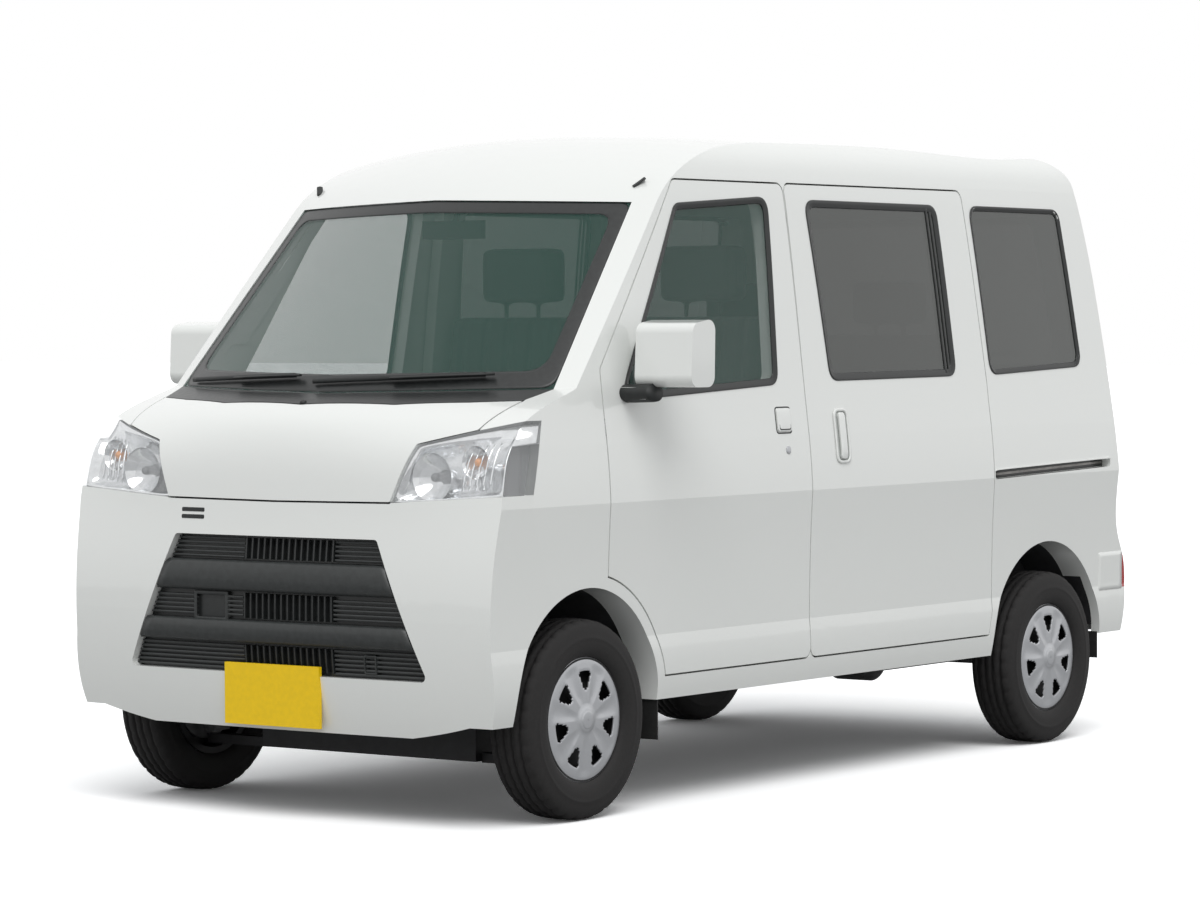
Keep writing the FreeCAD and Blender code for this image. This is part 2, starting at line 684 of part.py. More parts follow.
front_plate, front_pocket = plate(FRONT + 2, -1, 250)
grille_frame = SKIN.common(front_prism(GRILLE_FRAME, 0, -2000, -1600)).cut(tray).cut(front_pocket)
grille_frame = grille_frame.cut(front_prism(GRILLE_HOLE, 14, -2000, -1600))
feature("grille_frame", largest(grille_frame))
backing = shell(dim("skin_depth"), dim("door_thickness"))
grille = backing.common(front_prism(inset_outline(GRILLE_HOLE, -14), 14, -2000, -1600))
feature("grille", largest(grille))
feature("front_plate", front_plate)

deep = HULLS[dim("door_thickness") + CLEARANCE]
beam = deep.common(slab((-520, 520), (-1720, -1590), (560, 790)))
rail_half, rail_width = dim("rail_spacing") / 2, dim("rail_width") / 2
for x in (-rail_half, rail_half):
    beam = beam.fuse(deep.common(slab((x - rail_width, x + rail_width), (-1640, -1560), (342, 640))))
latch_reach = HULLS[dim("skin_depth") + CLEARANCE]
beam = largest(beam.fuse(latch_reach.common(slab((-30, 30), (-1720, -1590), (785, 905)))))
both_sides("headlamps", lamp)

# ---------------------------------------------------------------- tail
tailgate = DOOR.common(tail_prism(TAILGATE, 35)).cut(tail_prism(TAIL_WINDOW, 50)).cut(REAR_BUMPER)
rear_plate, rear_pocket = plate(REAR - 52, 1, 690)
feature("tailgate", largest(tailgate.cut(rear_pocket)))
feature("rear_plate", rear_plate)
feature("tailgate_glass", largest(PANE.common(tail_prism(inset_outline(TAIL_WINDOW, CLEARANCE), 50))))

lamp_block = tail_prism(TAIL_LAMP, 12)
tail_lamp = largest(SKIN.common(lamp_block).common(slab((0, 900), (1500, 1800), (400, 700))))
lamp_blocks = lamp_block.fuse(mirror_shape(lamp_block)).common(slab((-900, 900), (1500, 1800), (400, 700)))
rear_tray = slab((-900, 900), (1480, 1655), (150, 325))
rear_bumper = SKIN.common(REAR_BUMPER).cut(lamp_blocks).cut(arch_rear(dim("rear_arch_radius")))
rear_bumper = rear_bumper.cut(mirror_shape(arch_rear(dim("rear_arch_radius")))).cut(rear_tray)
rear_bumper = rear_bumper.cut(slab((-620, 620), (1300, 1620), (150, 325)))
feature("rear_bumper", largest(rear_bumper))
wide = dim("floor_half_width")
rear_panel = slab((-wide, wide), (REAR - 150, REAR - 98), (480, 656)).cut(RECESS.common(tailgate_space))
inner = HULLS[dim("skin_depth")]
rear_panel = rear_panel.fuse(inner.common(slab((-380, 380), (REAR - 98, REAR), (490, 560))))
tail_latch = shell(dim("door_thickness") + CLEARANCE, dim("frame_depth"))
rear_panel = rear_panel.fuse(tail_latch.common(slab((-30, 30), (REAR - 140, REAR), (620, 656))))
feature("end_panels", Part.makeCompound([beam, largest(rear_panel.cut(lamp_blocks))]))
both_sides("tail_lamps", tail_lamp)


# ---------------------------------------------------------------- wheels
AXLE_FRONT_TEXT = "(dims.front_overhang-dims.overall_length/2)"
AXLE_REAR_TEXT = AXLE_FRONT_TEXT + "+dims.wheelbase"

HALF_RIM = "dims.rim_width/2"
DISC_X = 18
rim_corners = [
    (f"-{HALF_RIM}", "dims.bead_radius-6"),
    (f"{DISC_X}", "dims.bead_radius-6"),
    (f"{DISC_X}", "dims.bore_radius+dims.hub_clearance"),
    (f"{DISC_X}+dims.disc_thickness", "dims.bore_radius+dims.hub_clearance"),
    (f"{DISC_X}+dims.disc_thickness", "dims.bead_radius-6"),
    (HALF_RIM, "dims.bead_radius-6"),
    (HALF_RIM, "dims.rim_radius"),
    (f"{HALF_RIM}-5", "dims.rim_radius"),
    (f"{HALF_RIM}-5", "dims.bead_radius"),
    (f"-{HALF_RIM}+5", "dims.bead_radius"),
    (f"-{HALF_RIM}+5", "dims.rim_radius"),
    (f"-{HALF_RIM}", "dims.rim_radius"),
]
tyre_corners = [
    (f"-{HALF_RIM}+5", "dims.bead_radius"),
    (f"{HALF_RIM}-5", "dims.bead_radius"),
    (f"{HALF_RIM}-5", "dims.rim_radius+4"),
    ("dims.tyre_width/2-4", "dims.rim_radius+24"),
    ("dims.tyre_width/2", "(dims.rim_radius+dims.tyre_radius)/2"),
    ("dims.tyre_width/2-4", "dims.tyre_radius-22"),
    ("dims.tyre_width/2-15", "dims.tyre_radius-6"),
    ("dims.tyre_width/2-26", "dims.tyre_radius"),
    ("26-dims.tyre_width/2", "dims.tyre_radius"),
    ("15-dims.tyre_width/2", "dims.tyre_radius-6"),
    ("4-dims.tyre_width/2", "dims.tyre_radius-22"),
    ("-dims.tyre_width/2", "(dims.rim_radius+dims.tyre_radius)/2"),
    ("4-dims.tyre_width/2", "dims.rim_radius+24"),
    (f"-{HALF_RIM}+5", "dims.rim_radius+4"),
]
for end, axle, track in (("front", AXLE_FRONT_TEXT, "track_front"), ("rear", AXLE_REAR_TEXT, "track_rear")):
    for part_name, corners in (("rim", rim_corners), ("tyre", tyre_corners)):
        left = revolved(f"{part_name}_{end}", corners)
        place(left, (f"dims.{track}/2", axle, "dims.tyre_radius"))
        node(left, f"{part_name}_{end}_left")
        node(mirrored(f"{part_name}_{end}_mirror", left), f"{part_name}_{end}_right")

# ---------------------------------------------------------------- front hub carriers and struts
HUB_FACE = "dims.track_front/2"


def between(name, radius, low, high):
    """A round bar between two points, each given as three numbers."""
    a, b = Vector(*low), Vector(*high)
    obj = doc.addObject("Part::Cylinder", name)
    bind(obj, Radius=radius)
    obj.Height = (b - a).Length
    obj.Placement = FreeCAD.Placement(a, FreeCAD.Rotation(Vector(0, 0, 1), b - a))
    return obj


def kingpin(z):
    """The point of the left steering axis at a height."""
    t = (z - dim("steer_ball_z")) / (dim("steer_top_z") - dim("steer_ball_z"))
    x = dim("steer_ball_x") + t * (dim("steer_top_x") - dim("steer_ball_x"))
    return (x, AXLE_FRONT, z)


spigot = cylinder_x("front_spigot", "dims.bore_radius", "110", (f"{HUB_FACE}-74", AXLE_FRONT_TEXT, "dims.tyre_radius"))
brake = cylinder_x("front_brake", "dims.bead_radius-30", "10", (f"{HUB_FACE}-30", AXLE_FRONT_TEXT, "dims.tyre_radius"))
upright = box("upright", ("36", "64", "dims.tyre_radius-dims.steer_ball_z+56"),
              (f"{HUB_FACE}-84", f"{AXLE_FRONT_TEXT}-32", "dims.steer_ball_z+22"))
strut = between("strut", "dims.strut_radius", kingpin(dim("steer_ball_z") + 170), kingpin(dim("steer_top_z") - 5.2))
ball_pin = between("ball_pin", "10", kingpin(dim("steer_ball_z") + 14.6), kingpin(dim("steer_ball_z") + 30))
knuckle = fused("knuckle", spigot, brake, upright, strut, ball_pin)
node(knuckle, "knuckle_left")
node(mirrored("knuckle_mirror", knuckle), "knuckle_right")

# ---------------------------------------------------------------- floor, rails and running gear that stays with the body
floor_profile = [
    ("-1400", "dims.cab_floor-dims.floor_thickness"),
    ("dims.riser+dims.floor_thickness", "dims.cab_floor-dims.floor_thickness"),
    ("dims.riser+dims.floor_thickness", "dims.load_floor-dims.floor_thickness"),
    ("dims.overall_length/2-150", "dims.load_floor-dims.floor_thickness"),
    ("dims.overall_length/2-150", "dims.load_floor"),
    ("dims.riser", "dims.load_floor"),
    ("dims.riser", "dims.cab_floor"),
    ("-1400", "dims.cab_floor"),
]
floor_bar = padded("floor_bar", "YZ_Plane", floor_profile, "dims.floor_half_width*2")
LINER_WALL = 420
FRONT_LINER, REAR_LINER = dim("arch_radius"), dim("rear_arch_radius")


def wheel_tub(y, radius, wall):
    """The space of a wheel housing on both sides, from its inner wall outwards."""
    left = disc_x(y, ARCH_Z, radius, wall, 900)
    return left.fuse(mirror_shape(left))


front_tubs = wheel_tub(AXLE_FRONT, FRONT_LINER + 3 + CLEARANCE, LINER_WALL - 3 - CLEARANCE)
rear_tubs = wheel_tub(REAR_ARCH_Y, REAR_LINER + 3 + CLEARANCE, LINER_WALL + 80 - 3 - CLEARANCE)
load_deck = slab((-520, 520), (1040, REAR - 217), (dim("load_floor") - 5, dim("load_floor") + dim("deck_height")))
feature("floor", largest(solved(floor_bar).cut(front_tubs).cut(rear_tubs).fuse(load_deck)))


def liner(y, radius, wall, outer):
    """A wheel housing: a half ring and its inner wall, open below."""
    solid = disc_x(y, ARCH_Z, radius + 3, wall - 3, outer).cut(disc_x(y, ARCH_Z, radius, wall, 900))
    below = slab((0, 900), (y - 500, y + 500), (-100, 352))
    return largest(solid.cut(below))


def around(shape, *others):
    """The shape less what it meets."""
    for other in others:
        shape = shape.cut(other)
    return shape


front_liner = liner(AXLE_FRONT, FRONT_LINER, LINER_WALL, 704)
front_liner = largest(around(front_liner, side, fender, bumper))
rear_liner = largest(around(liner(REAR_ARCH_Y, REAR_LINER, LINER_WALL + 80, 700), side, rear_bumper))
strut_mount = cylinder_z("strut_mount", "44", "dims.arch_height+dims.arch_radius-dims.steer_top_z+1",
                         ("dims.steer_top_x", AXLE_FRONT_TEXT, "dims.steer_top_z"))
inside_arch = disc_x(AXLE_FRONT, ARCH_Z, FRONT_LINER + 1, 300, 900)
front_liner = largest(front_liner.fuse(solved(strut_mount).common(inside_arch)))
both_sides("wheel_housings", front_liner, rear_liner)

RAIL_X = "dims.rail_spacing/2-dims.rail_width/2"
RAIL_TOP = "dims.cab_floor-dims.floor_thickness"
rail_profile = [
    ("-1560", f"{RAIL_TOP}-dims.rail_height"),
    ("780", f"{RAIL_TOP}-dims.rail_height"),
    ("960", f"{RAIL_TOP}-dims.rail_height+dims.rail_kick"),
    ("dims.overall_length/2-150", f"{RAIL_TOP}-dims.rail_height+dims.rail_kick"),
    ("dims.overall_length/2-150", f"{RAIL_TOP}+dims.rail_kick"),
    ("940", f"{RAIL_TOP}+dims.rail_kick"),
    ("760", RAIL_TOP),
    ("-1560", RAIL_TOP),
]
rail = padded("rail", "YZ_Plane", rail_profile, "dims.rail_width", True)
place(rail, ("dims.rail_spacing/2", "0", "0"))
node(compound("rails", rail, mirrored("rail_mirror", rail)), "chassis_rails")

CROSS = []
for number, (y, low, high) in enumerate((
    ("-1545", f"{RAIL_TOP}-70", RAIL_TOP),
    ("-60", f"{RAIL_TOP}-60", "dims.load_floor-dims.floor_thickness"),
    ("700", f"{RAIL_TOP}-40", "dims.load_floor-dims.floor_thickness"),
    ("1480", f"{RAIL_TOP}+dims.rail_kick-70", "dims.load_floor-dims.floor_thickness"),
)):
    CROSS.append(box(f"cross_{number}", (f"2*({RAIL_X})", "44", f"{high}-({low})"), (f"-({RAIL_X})", y, low)))
node(compound("crossmembers", *CROSS), "crossmembers")

block = box("engine_block", ("420", "420", "370"), ("-210", "-770", "235"))
gearbox = box("gearbox", ("210", "280", "200"), ("-105", "-350", "240"))
engine_mount = box("engine_mount", (f"2*({RAIL_X})", "50", "46"), (f"-({RAIL_X})", "-600", f"{RAIL_TOP}-70"))
node(fused("engine", block, gearbox, engine_mount), "engine")

shaft_z = "dims.tyre_radius+6"
node(cylinder_y("propshaft_bar", "30", f"{AXLE_REAR_TEXT}-dims.diff_radius+70-dims.glass_clearance", ("0", "-70", shaft_z)), "propshaft")

HALF_TRACK = "dims.track_rear/2"
half_axle = [
    (f"{HALF_TRACK}+36", "0"), (f"{HALF_TRACK}+36", "dims.bore_radius"), (f"{HALF_TRACK}+6", "dims.bore_radius"),
    (f"{HALF_TRACK}+6", "dims.bead_radius-32"), (f"{HALF_TRACK}-40", "dims.bead_radius-32"),
    (f"{HALF_TRACK}-40", "dims.axle_tube_radius"), ("110", "dims.axle_tube_radius"), ("60", "dims.diff_radius"),
]
axle = revolved("axle", half_axle + [(f"-({x})", radius) for x, radius in reversed(half_axle)])
place(axle, ("0", AXLE_REAR_TEXT, "dims.tyre_radius"))
node(axle, "rear_axle")

spring = cylinder_z(
    "spring", "52", f"{RAIL_TOP}-dims.rail_height+dims.rail_kick-dims.tyre_radius-dims.axle_tube_radius",
    ("dims.rail_spacing/2", AXLE_REAR_TEXT, "dims.tyre_radius+dims.axle_tube_radius"),
)
link = box("link", ("40", f"{AXLE_REAR_TEXT}-dims.axle_tube_radius-700", "46"),
           ("dims.rail_spacing/2+34", "700", "dims.tyre_radius-20"))
link_mount = box("link_mount", ("74-dims.rail_width/2", "90", f"{RAIL_TOP}-dims.tyre_radius-10"),
                 ("dims.rail_spacing/2+dims.rail_width/2", "690", "dims.tyre_radius+10"))
rear_link = fused("rear_link", link, link_mount)
suspension_left = compound("suspension_left", spring, rear_link)
node(compound("suspension", suspension_left, mirrored("suspension_mirror", suspension_left)), "rear_suspension")

subframe = box("subframe", ("dims.rail_spacing+dims.rail_width", "90", f"{RAIL_TOP}-dims.rail_height-dims.steer_ball_z+10"),
               ("-dims.rail_spacing/2-dims.rail_width/2", f"{AXLE_FRONT_TEXT}-45", "dims.steer_ball_z-10"))
arm_left = box("arm_left", ("dims.steer_ball_x+8-dims.rail_spacing/2-dims.rail_width/2", "36", "26"),
               ("dims.rail_spacing/2+dims.rail_width/2", f"{AXLE_FRONT_TEXT}-18", "dims.steer_ball_z-14"))
arm_right = box("arm_right", ("dims.steer_ball_x+8-dims.rail_spacing/2-dims.rail_width/2", "36", "26"),
                ("-dims.steer_ball_x-8", f"{AXLE_FRONT_TEXT}-18", "dims.steer_ball_z-14"))
node(fused("front_frame", subframe, arm_left, arm_right), "front_subframe")

tank = box("tank", (f"{RAIL_X}-60", "560", "150"), ("60", "60", "262"))
node(tank, "fuel_tank")

muffler = box("muffler", ("150", "380", "110"), (f"-({RAIL_X})", "250", "262"))
pipe_front = between("pipe_front", "20", (-235, -380, 300), (-235, 260, 300))
pipe_rear = between("pipe_rear", "20", (-250, 620, 350), (-250, 1600, 372))
node(fused("exhaust", muffler, pipe_front, pipe_rear), "exhaust")

# ---------------------------------------------------------------- inside
firewall = box("firewall_plate", ("1240", "12", "680"), ("-620", "-1412", f"{RAIL_TOP}"))
feature("firewall", largest(around(solved(firewall), front_tubs, side, mirror_shape(side), fender, mirror_shape(fender), cowl, bonnet_space)))

dash_profile = [
    ("-1400", "640"), ("-1200", "640"), ("-1130", "800"), ("-1105", "1010"), ("-1140", "1078"), ("-1400", "1100"),
]
dash = padded("dash", "YZ_Plane", dash_profile, "1180")
feature("dashboard", largest(around(solved(dash), front_tubs, side, mirror_shape(side), cowl, bonnet_space)))

WHEEL_CENTRE = Vector(-dim("seat_offset"), -985, 1020)
AXIS = Vector(0, math.sin(math.radians(dim("column_tilt"))), math.cos(math.radians(dim("column_tilt"))))
column = between("column_bar", "26", tuple(WHEEL_CENTRE - AXIS * 210), tuple(WHEEL_CENTRE - AXIS * 25.3))
feature("steering_column", largest(around(solved(column), solved(dash))))

ring = doc.addObject("Part::Torus", "wheel_ring")
bind(ring, Radius1="dims.wheel_ring_radius", Radius2="dims.wheel_ring_section")
hub = doc.addObject("Part::Cylinder", "wheel_hub")
hub.Radius, hub.Height = 48, 40
hub.Placement = FreeCAD.Placement(Vector(0, 0, -25), FreeCAD.Rotation())
SPOKES = []
for angle in (0, 120, 240):
    spoke = doc.addObject("Part::Box", f"spoke_{angle}")
    bind(spoke, Length="dims.wheel_ring_radius")
    spoke.Width, spoke.Height = 34, 12
    spoke.Placement = FreeCAD.Placement(Vector(), FreeCAD.Rotation(Vector(0, 0, 1), angle - 90)).multiply(
        FreeCAD.Placement(Vector(0, -17, -8), FreeCAD.Rotation()))
    SPOKES.append(spoke)
steering = fused("steering", ring, hub, *SPOKES)
steering.Placement = FreeCAD.Placement(WHEEL_CENTRE, FreeCAD.Rotation(Vector(0, 0, 1), AXIS))
node(steering, "steering_wheel")

SEAT_Y = -790
seat_back_profile = [("-330", "dims.load_floor+90"), ("-215", "dims.load_floor+90"), ("-150", "1330"), ("-235", "1330")]
SEATS = {"seat_bases": [], "seat_cushions": [], "seat_backs": [], "headrests": []}
for sign, side_name in ((1, "left"), (-1, "right")):
    x = f"{sign}*dims.seat_offset-dims.seat_width/2"
    SEATS["seat_bases"].append(box(f"base_{side_name}", ("dims.seat_width-60", "590", "60"), (x + "+30", "-760", "dims.load_floor")))
    SEATS["seat_cushions"].append(
        box(f"cushion_{side_name}", ("dims.seat_width", "520", "dims.cushion_thickness"),
            (x, "-790", "dims.load_floor+60+dims.glass_clearance")))
    back = padded(f"back_{side_name}", "YZ_Plane", [
        ("-262", "dims.load_floor+60+dims.glass_clearance"), ("-166", "dims.load_floor+60+dims.glass_clearance"),
        ("-96", "1330"), ("-186", "1330"),
    ], "dims.seat_width-20")
    place(back, (f"{sign}*dims.seat_offset", "0", "0"))
    SEATS["seat_backs"].append(back)
    SEATS["headrests"].append(box(f"headrest_{side_name}", ("250", "90", "150"), (f"{sign}*dims.seat_offset-125", "-180", "1390")))
    for offset in (-60, 60):
        SEATS["headrests"].append(cylinder_z(f"post_{side_name}_{offset + 60}", "6", "60-dims.glass_clearance",
                                  (f"{sign}*dims.seat_offset+{offset}", "-140", "1330+dims.glass_clearance")))

bench_base = box("bench_base", ("dims.bench_width-120", "500", "80"), ("60-dims.bench_width/2", "430", "dims.load_floor"))
bench_cushion = box("bench_cushion", ("dims.bench_width", "460", "90"), ("-dims.bench_width/2", "400", "dims.load_floor+80+dims.glass_clearance"))
bench_back = padded("bench_back", "YZ_Plane", [
    ("866", "dims.load_floor+80+dims.glass_clearance"), ("936", "dims.load_floor+80+dims.glass_clearance"),
    ("1000", "1270"), ("930", "1270"),
], "dims.bench_width")
SEATS["seat_bases"].append(bench_base)
SEATS["seat_cushions"].append(bench_cushion)
SEATS["seat_backs"].append(bench_back)
for sign in (1, -1):
    SEATS["headrests"].append(box(f"rear_headrest_{sign + 1}", ("230", "70", "120"), (f"{sign}*dims.bench_width/4-115", "925", "1320")))
    for offset in (-50, 50):
        SEATS["headrests"].append(cylinder_z(f"rear_post_{sign + 1}_{offset + 50}", "6", "50-dims.glass_clearance",
                                  (f"{sign}*dims.bench_width/4+{offset}", "960", "1270+dims.glass_clearance")))
for label, pieces in SEATS.items():
    node(compound(label + "_group", *pieces), label)

# ---------------------------------------------------------------- outside trim
mirror_arm = slab((700, 790), (-1075, -1020), (1118, 1150))
mirror_head = side_prism([(-1060, 1150), (-950, 1150), (-945, 1335), (-1050, 1320)], 30, 742, 928)
mirror_left = largest(mirror_arm.fuse(mirror_head).cut(HULLS[0]))
feature("door_mirror_left", mirror_left)
feature("door_mirror_right", mirror_shape(mirror_left))


stem = between("stem", "8", (0, -893, 1600), (0, -800, 1790))
glass_block = slab((-105, 105), (-905, -885), (1560, 1612))
feature("interior_mirror", largest(around(glass_block.fuse(solved(stem)), roof)))

front_flap = slab((600, 716), (AXLE_FRONT + 324, AXLE_FRONT + 329), (188, dim("sill_low")))
rear_flap = slab((640, 716), (AXLE_REAR + 300, AXLE_REAR + 305), (246, 330)).cut(rear_bumper)
rear_flap = min(rear_flap.Solids, key=lambda solid: solid.CenterOfMass.z)
both_sides("mud_flaps", front_flap, rear_flap)
doc.recompute()
for obj in doc.Objects:
    assert "Invalid" not in obj.State and "Error" not in obj.State, obj.Name
for piece in NODES:
    shape = piece.Shape
    assert not shape.isNull() and shape.isValid() and shape.Solids, piece.Label
    print(piece.Label, len(shape.Solids), round(shape.Volume / 1e6, 2), [round(v) for v in (
        shape.BoundBox.XMin, shape.BoundBox.XMax, shape.BoundBox.YMin, shape.BoundBox.YMax, shape.BoundBox.ZMin, shape.BoundBox.ZMax)])

os.makedirs("parts", exist_ok=True)
for piece in NODES:
    piece.Shape.exportStep(f"parts/{piece.Label}.step")
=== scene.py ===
"""Looks of a high-roof microvan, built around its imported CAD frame. Metres; +Z up, front faces -Y, +X is its left."""
import bpy
import bmesh
import math
from mathutils import Matrix, Vector
from mathutils.bvhtree import BVHTree


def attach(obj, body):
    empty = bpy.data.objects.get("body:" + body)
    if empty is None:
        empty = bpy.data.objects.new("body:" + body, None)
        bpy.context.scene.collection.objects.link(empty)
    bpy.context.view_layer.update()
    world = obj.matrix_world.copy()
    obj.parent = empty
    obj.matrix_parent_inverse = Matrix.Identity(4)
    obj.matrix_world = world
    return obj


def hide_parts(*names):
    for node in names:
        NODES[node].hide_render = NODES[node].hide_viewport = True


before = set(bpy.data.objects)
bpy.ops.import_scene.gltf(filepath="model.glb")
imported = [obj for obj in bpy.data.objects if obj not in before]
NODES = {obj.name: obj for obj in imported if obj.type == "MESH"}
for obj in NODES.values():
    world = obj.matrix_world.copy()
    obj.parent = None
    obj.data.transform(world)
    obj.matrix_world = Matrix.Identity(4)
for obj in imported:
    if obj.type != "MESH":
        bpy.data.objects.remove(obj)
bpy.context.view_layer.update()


# ---------------------------------------------------------------- materials
def socket(node, name, value):
    """Sets one input of a shader node."""
    node.inputs[name].default_value = value


def material(name, colour, roughness=0.5, metallic=0.0, vary=0.06, scale=40.0, bump=0.0, bump_scale=None,
             coat=0.0, coat_roughness=0.05, alpha=None, transmission=0.0, ior=1.5, weave=False,
             sheen=0.0, rough_vary=0.08):
    """A Principled material whose colour, roughness and relief vary with procedural noise."""
    mat = bpy.data.materials.new(name)
    mat.use_nodes = True
    tree = mat.node_tree
    nodes, links = tree.nodes, tree.links
    shader = nodes["Principled BSDF"]
    coords = nodes.new("ShaderNodeTexCoord")
    noise = nodes.new("ShaderNodeTexNoise")
    socket(noise, "Scale", scale)
    socket(noise, "Detail", 4.0)
    links.new(coords.outputs["Object"], noise.inputs["Vector"])
    ramp = nodes.new("ShaderNodeValToRGB")
    low = [max(0.0, c * (1 - vary)) for c in colour[:3]] + [1]
    high = [min(1.0, c * (1 + vary)) for c in colour[:3]] + [1]
    ramp.color_ramp.elements[0].position = 0.35
    ramp.color_ramp.elements[1].position = 0.65
    ramp.color_ramp.elements[0].color = low
    ramp.color_ramp.elements[1].color = high
    links.new(noise.outputs["Fac"], ramp.inputs["Fac"])
    links.new(ramp.outputs["Color"], shader.inputs["Base Color"])
    rough = nodes.new("ShaderNodeMapRange")
    socket(rough, "To Min", max(0.02, roughness - rough_vary))
    socket(rough, "To Max", min(1.0, roughness + rough_vary))
    links.new(noise.outputs["Fac"], rough.inputs["Value"])
    links.new(rough.outputs["Result"], shader.inputs["Roughness"])
    socket(shader, "Metallic", metallic)
    socket(shader, "IOR", ior)
    socket(shader, "Coat Weight", coat)
    socket(shader, "Coat Roughness", coat_roughness)
    socket(shader, "Transmission Weight", transmission)
    if sheen:
        socket(shader, "Sheen Weight", sheen)
    if alpha is not None:
        socket(shader, "Alpha", alpha)
    if bump:
        if weave:
            texture = nodes.new("ShaderNodeTexWave")
            socket(texture, "Scale", bump_scale or scale)
            socket(texture, "Distortion", 2.0)
            source = texture.outputs["Fac"]
        else:
            texture = nodes.new("ShaderNodeTexNoise")
            socket(texture, "Scale", bump_scale or scale)
            source = texture.outputs["Fac"]
        links.new(coords.outputs["Object"], texture.inputs["Vector"])
        relief = nodes.new("ShaderNodeBump")
        socket(relief, "Strength", bump)
        socket(relief, "Distance", 0.001)
        links.new(source, relief.inputs["Height"])
        links.new(relief.outputs["Normal"], shader.inputs["Normal"])
    return mat


M = {
    "paint": material("pearl_white", (0.84, 0.855, 0.83), 0.32, vary=0.012, scale=900, bump=0.02, bump_scale=1600,
                      coat=1.0, rough_vary=0.04),
    "bumper": material("pearl_white_plastic", (0.83, 0.845, 0.82), 0.34, vary=0.012, scale=900, bump=0.03,
                       bump_scale=1200, coat=0.9, rough_vary=0.04),
    "black": material("black_plastic", (0.012, 0.014, 0.014), 0.55, vary=0.2, scale=60, bump=0.25, bump_scale=900),
    "trim": material("black_trim", (0.018, 0.02, 0.02), 0.35, vary=0.15, scale=80, bump=0.1, bump_scale=600),
    "grey": material("grey_plastic", (0.20, 0.205, 0.21), 0.5, vary=0.08, scale=60, bump=0.25, bump_scale=800),
    "rubber": material("rubber", (0.012, 0.012, 0.012), 0.75, vary=0.25, scale=90, bump=0.4, bump_scale=500),
    "tyre": material("tyre_rubber", (0.012, 0.011, 0.011), 0.8, vary=0.25, scale=120, bump=0.35, bump_scale=700),
    "glass": material("clear_glass", (0.03, 0.11, 0.085), 0.03, vary=0.02, scale=5, alpha=0.30, coat=0.6,
                      coat_roughness=0.02, rough_vary=0.01),
    "privacy": material("privacy_glass", (0.035, 0.042, 0.036), 0.04, vary=0.06, scale=4, alpha=0.74, coat=0.8,
                        coat_roughness=0.02, rough_vary=0.01),
    "lens": material("lamp_lens", (0.93, 0.95, 0.96), 0.03, vary=0.02, scale=20, alpha=0.22, coat=1.0,
                     coat_roughness=0.02, rough_vary=0.01),
    "red_lens": material("tail_lens", (0.42, 0.008, 0.008), 0.12, vary=0.12, scale=120, bump=0.3, bump_scale=260,
                         coat=1.0, coat_roughness=0.03, rough_vary=0.04),
    "silver": material("silver_paint", (0.50, 0.51, 0.53), 0.33, metallic=0.55, vary=0.05, scale=500, bump=0.05,
                       bump_scale=1500, coat=0.5),
    "chassis": material("chassis_black", (0.022, 0.022, 0.024), 0.6, vary=0.35, scale=18, bump=0.3, bump_scale=120),
    "cast": material("cast_metal", (0.16, 0.16, 0.165), 0.6, metallic=0.5, vary=0.25, scale=30, bump=0.5,
                     bump_scale=260),
    "steel": material("dull_steel", (0.33, 0.32, 0.31), 0.5, metallic=0.8, vary=0.22, scale=24, bump=0.2,
                      bump_scale=200),
    "fabric": material("seat_fabric", (0.085, 0.087, 0.085), 0.85, vary=0.14, scale=260, bump=0.6, bump_scale=420,
                       weave=True, sheen=0.35),
    "dash": material("dash_plastic", (0.075, 0.075, 0.073), 0.6, vary=0.06, scale=90, bump=0.45, bump_scale=700),
    "carpet": material("carpet", (0.06, 0.06, 0.063), 0.95, vary=0.3, scale=400, bump=0.9, bump_scale=700),
    "plate": material("plate_yellow", (0.94, 0.62, 0.0), 0.42, vary=0.03, scale=70, bump=0.05, bump_scale=300),
    "grille_bar": material("grille_plastic", (0.028, 0.031, 0.031), 0.42, vary=0.15, scale=60, bump=0.15,
                           bump_scale=900),
    "rim": material("dark_steel_rim", (0.02, 0.02, 0.021), 0.5, metallic=0.3, vary=0.2, scale=40, bump=0.1,
                    bump_scale=300),
    "chrome": material("reflector", (0.78, 0.79, 0.80), 0.12, metallic=1.0, vary=0.05, scale=60, bump=0.1,
                       bump_scale=150, rough_vary=0.05),
    "amber": material("amber_bulb", (0.85, 0.30, 0.03), 0.15, vary=0.08, scale=60, coat=1.0),
    # painted shade: a greyer white that stands in for the shade inside recesses in the white paint
    "painted_shade": material("painted_shade_white", (0.55, 0.57, 0.55), 0.4, vary=0.03, scale=300, bump=0.02, bump_scale=900),
    "mirror": material("mirror_glass", (0.85, 0.87, 0.88), 0.03, metallic=1.0, vary=0.02, scale=8, rough_vary=0.01),
}

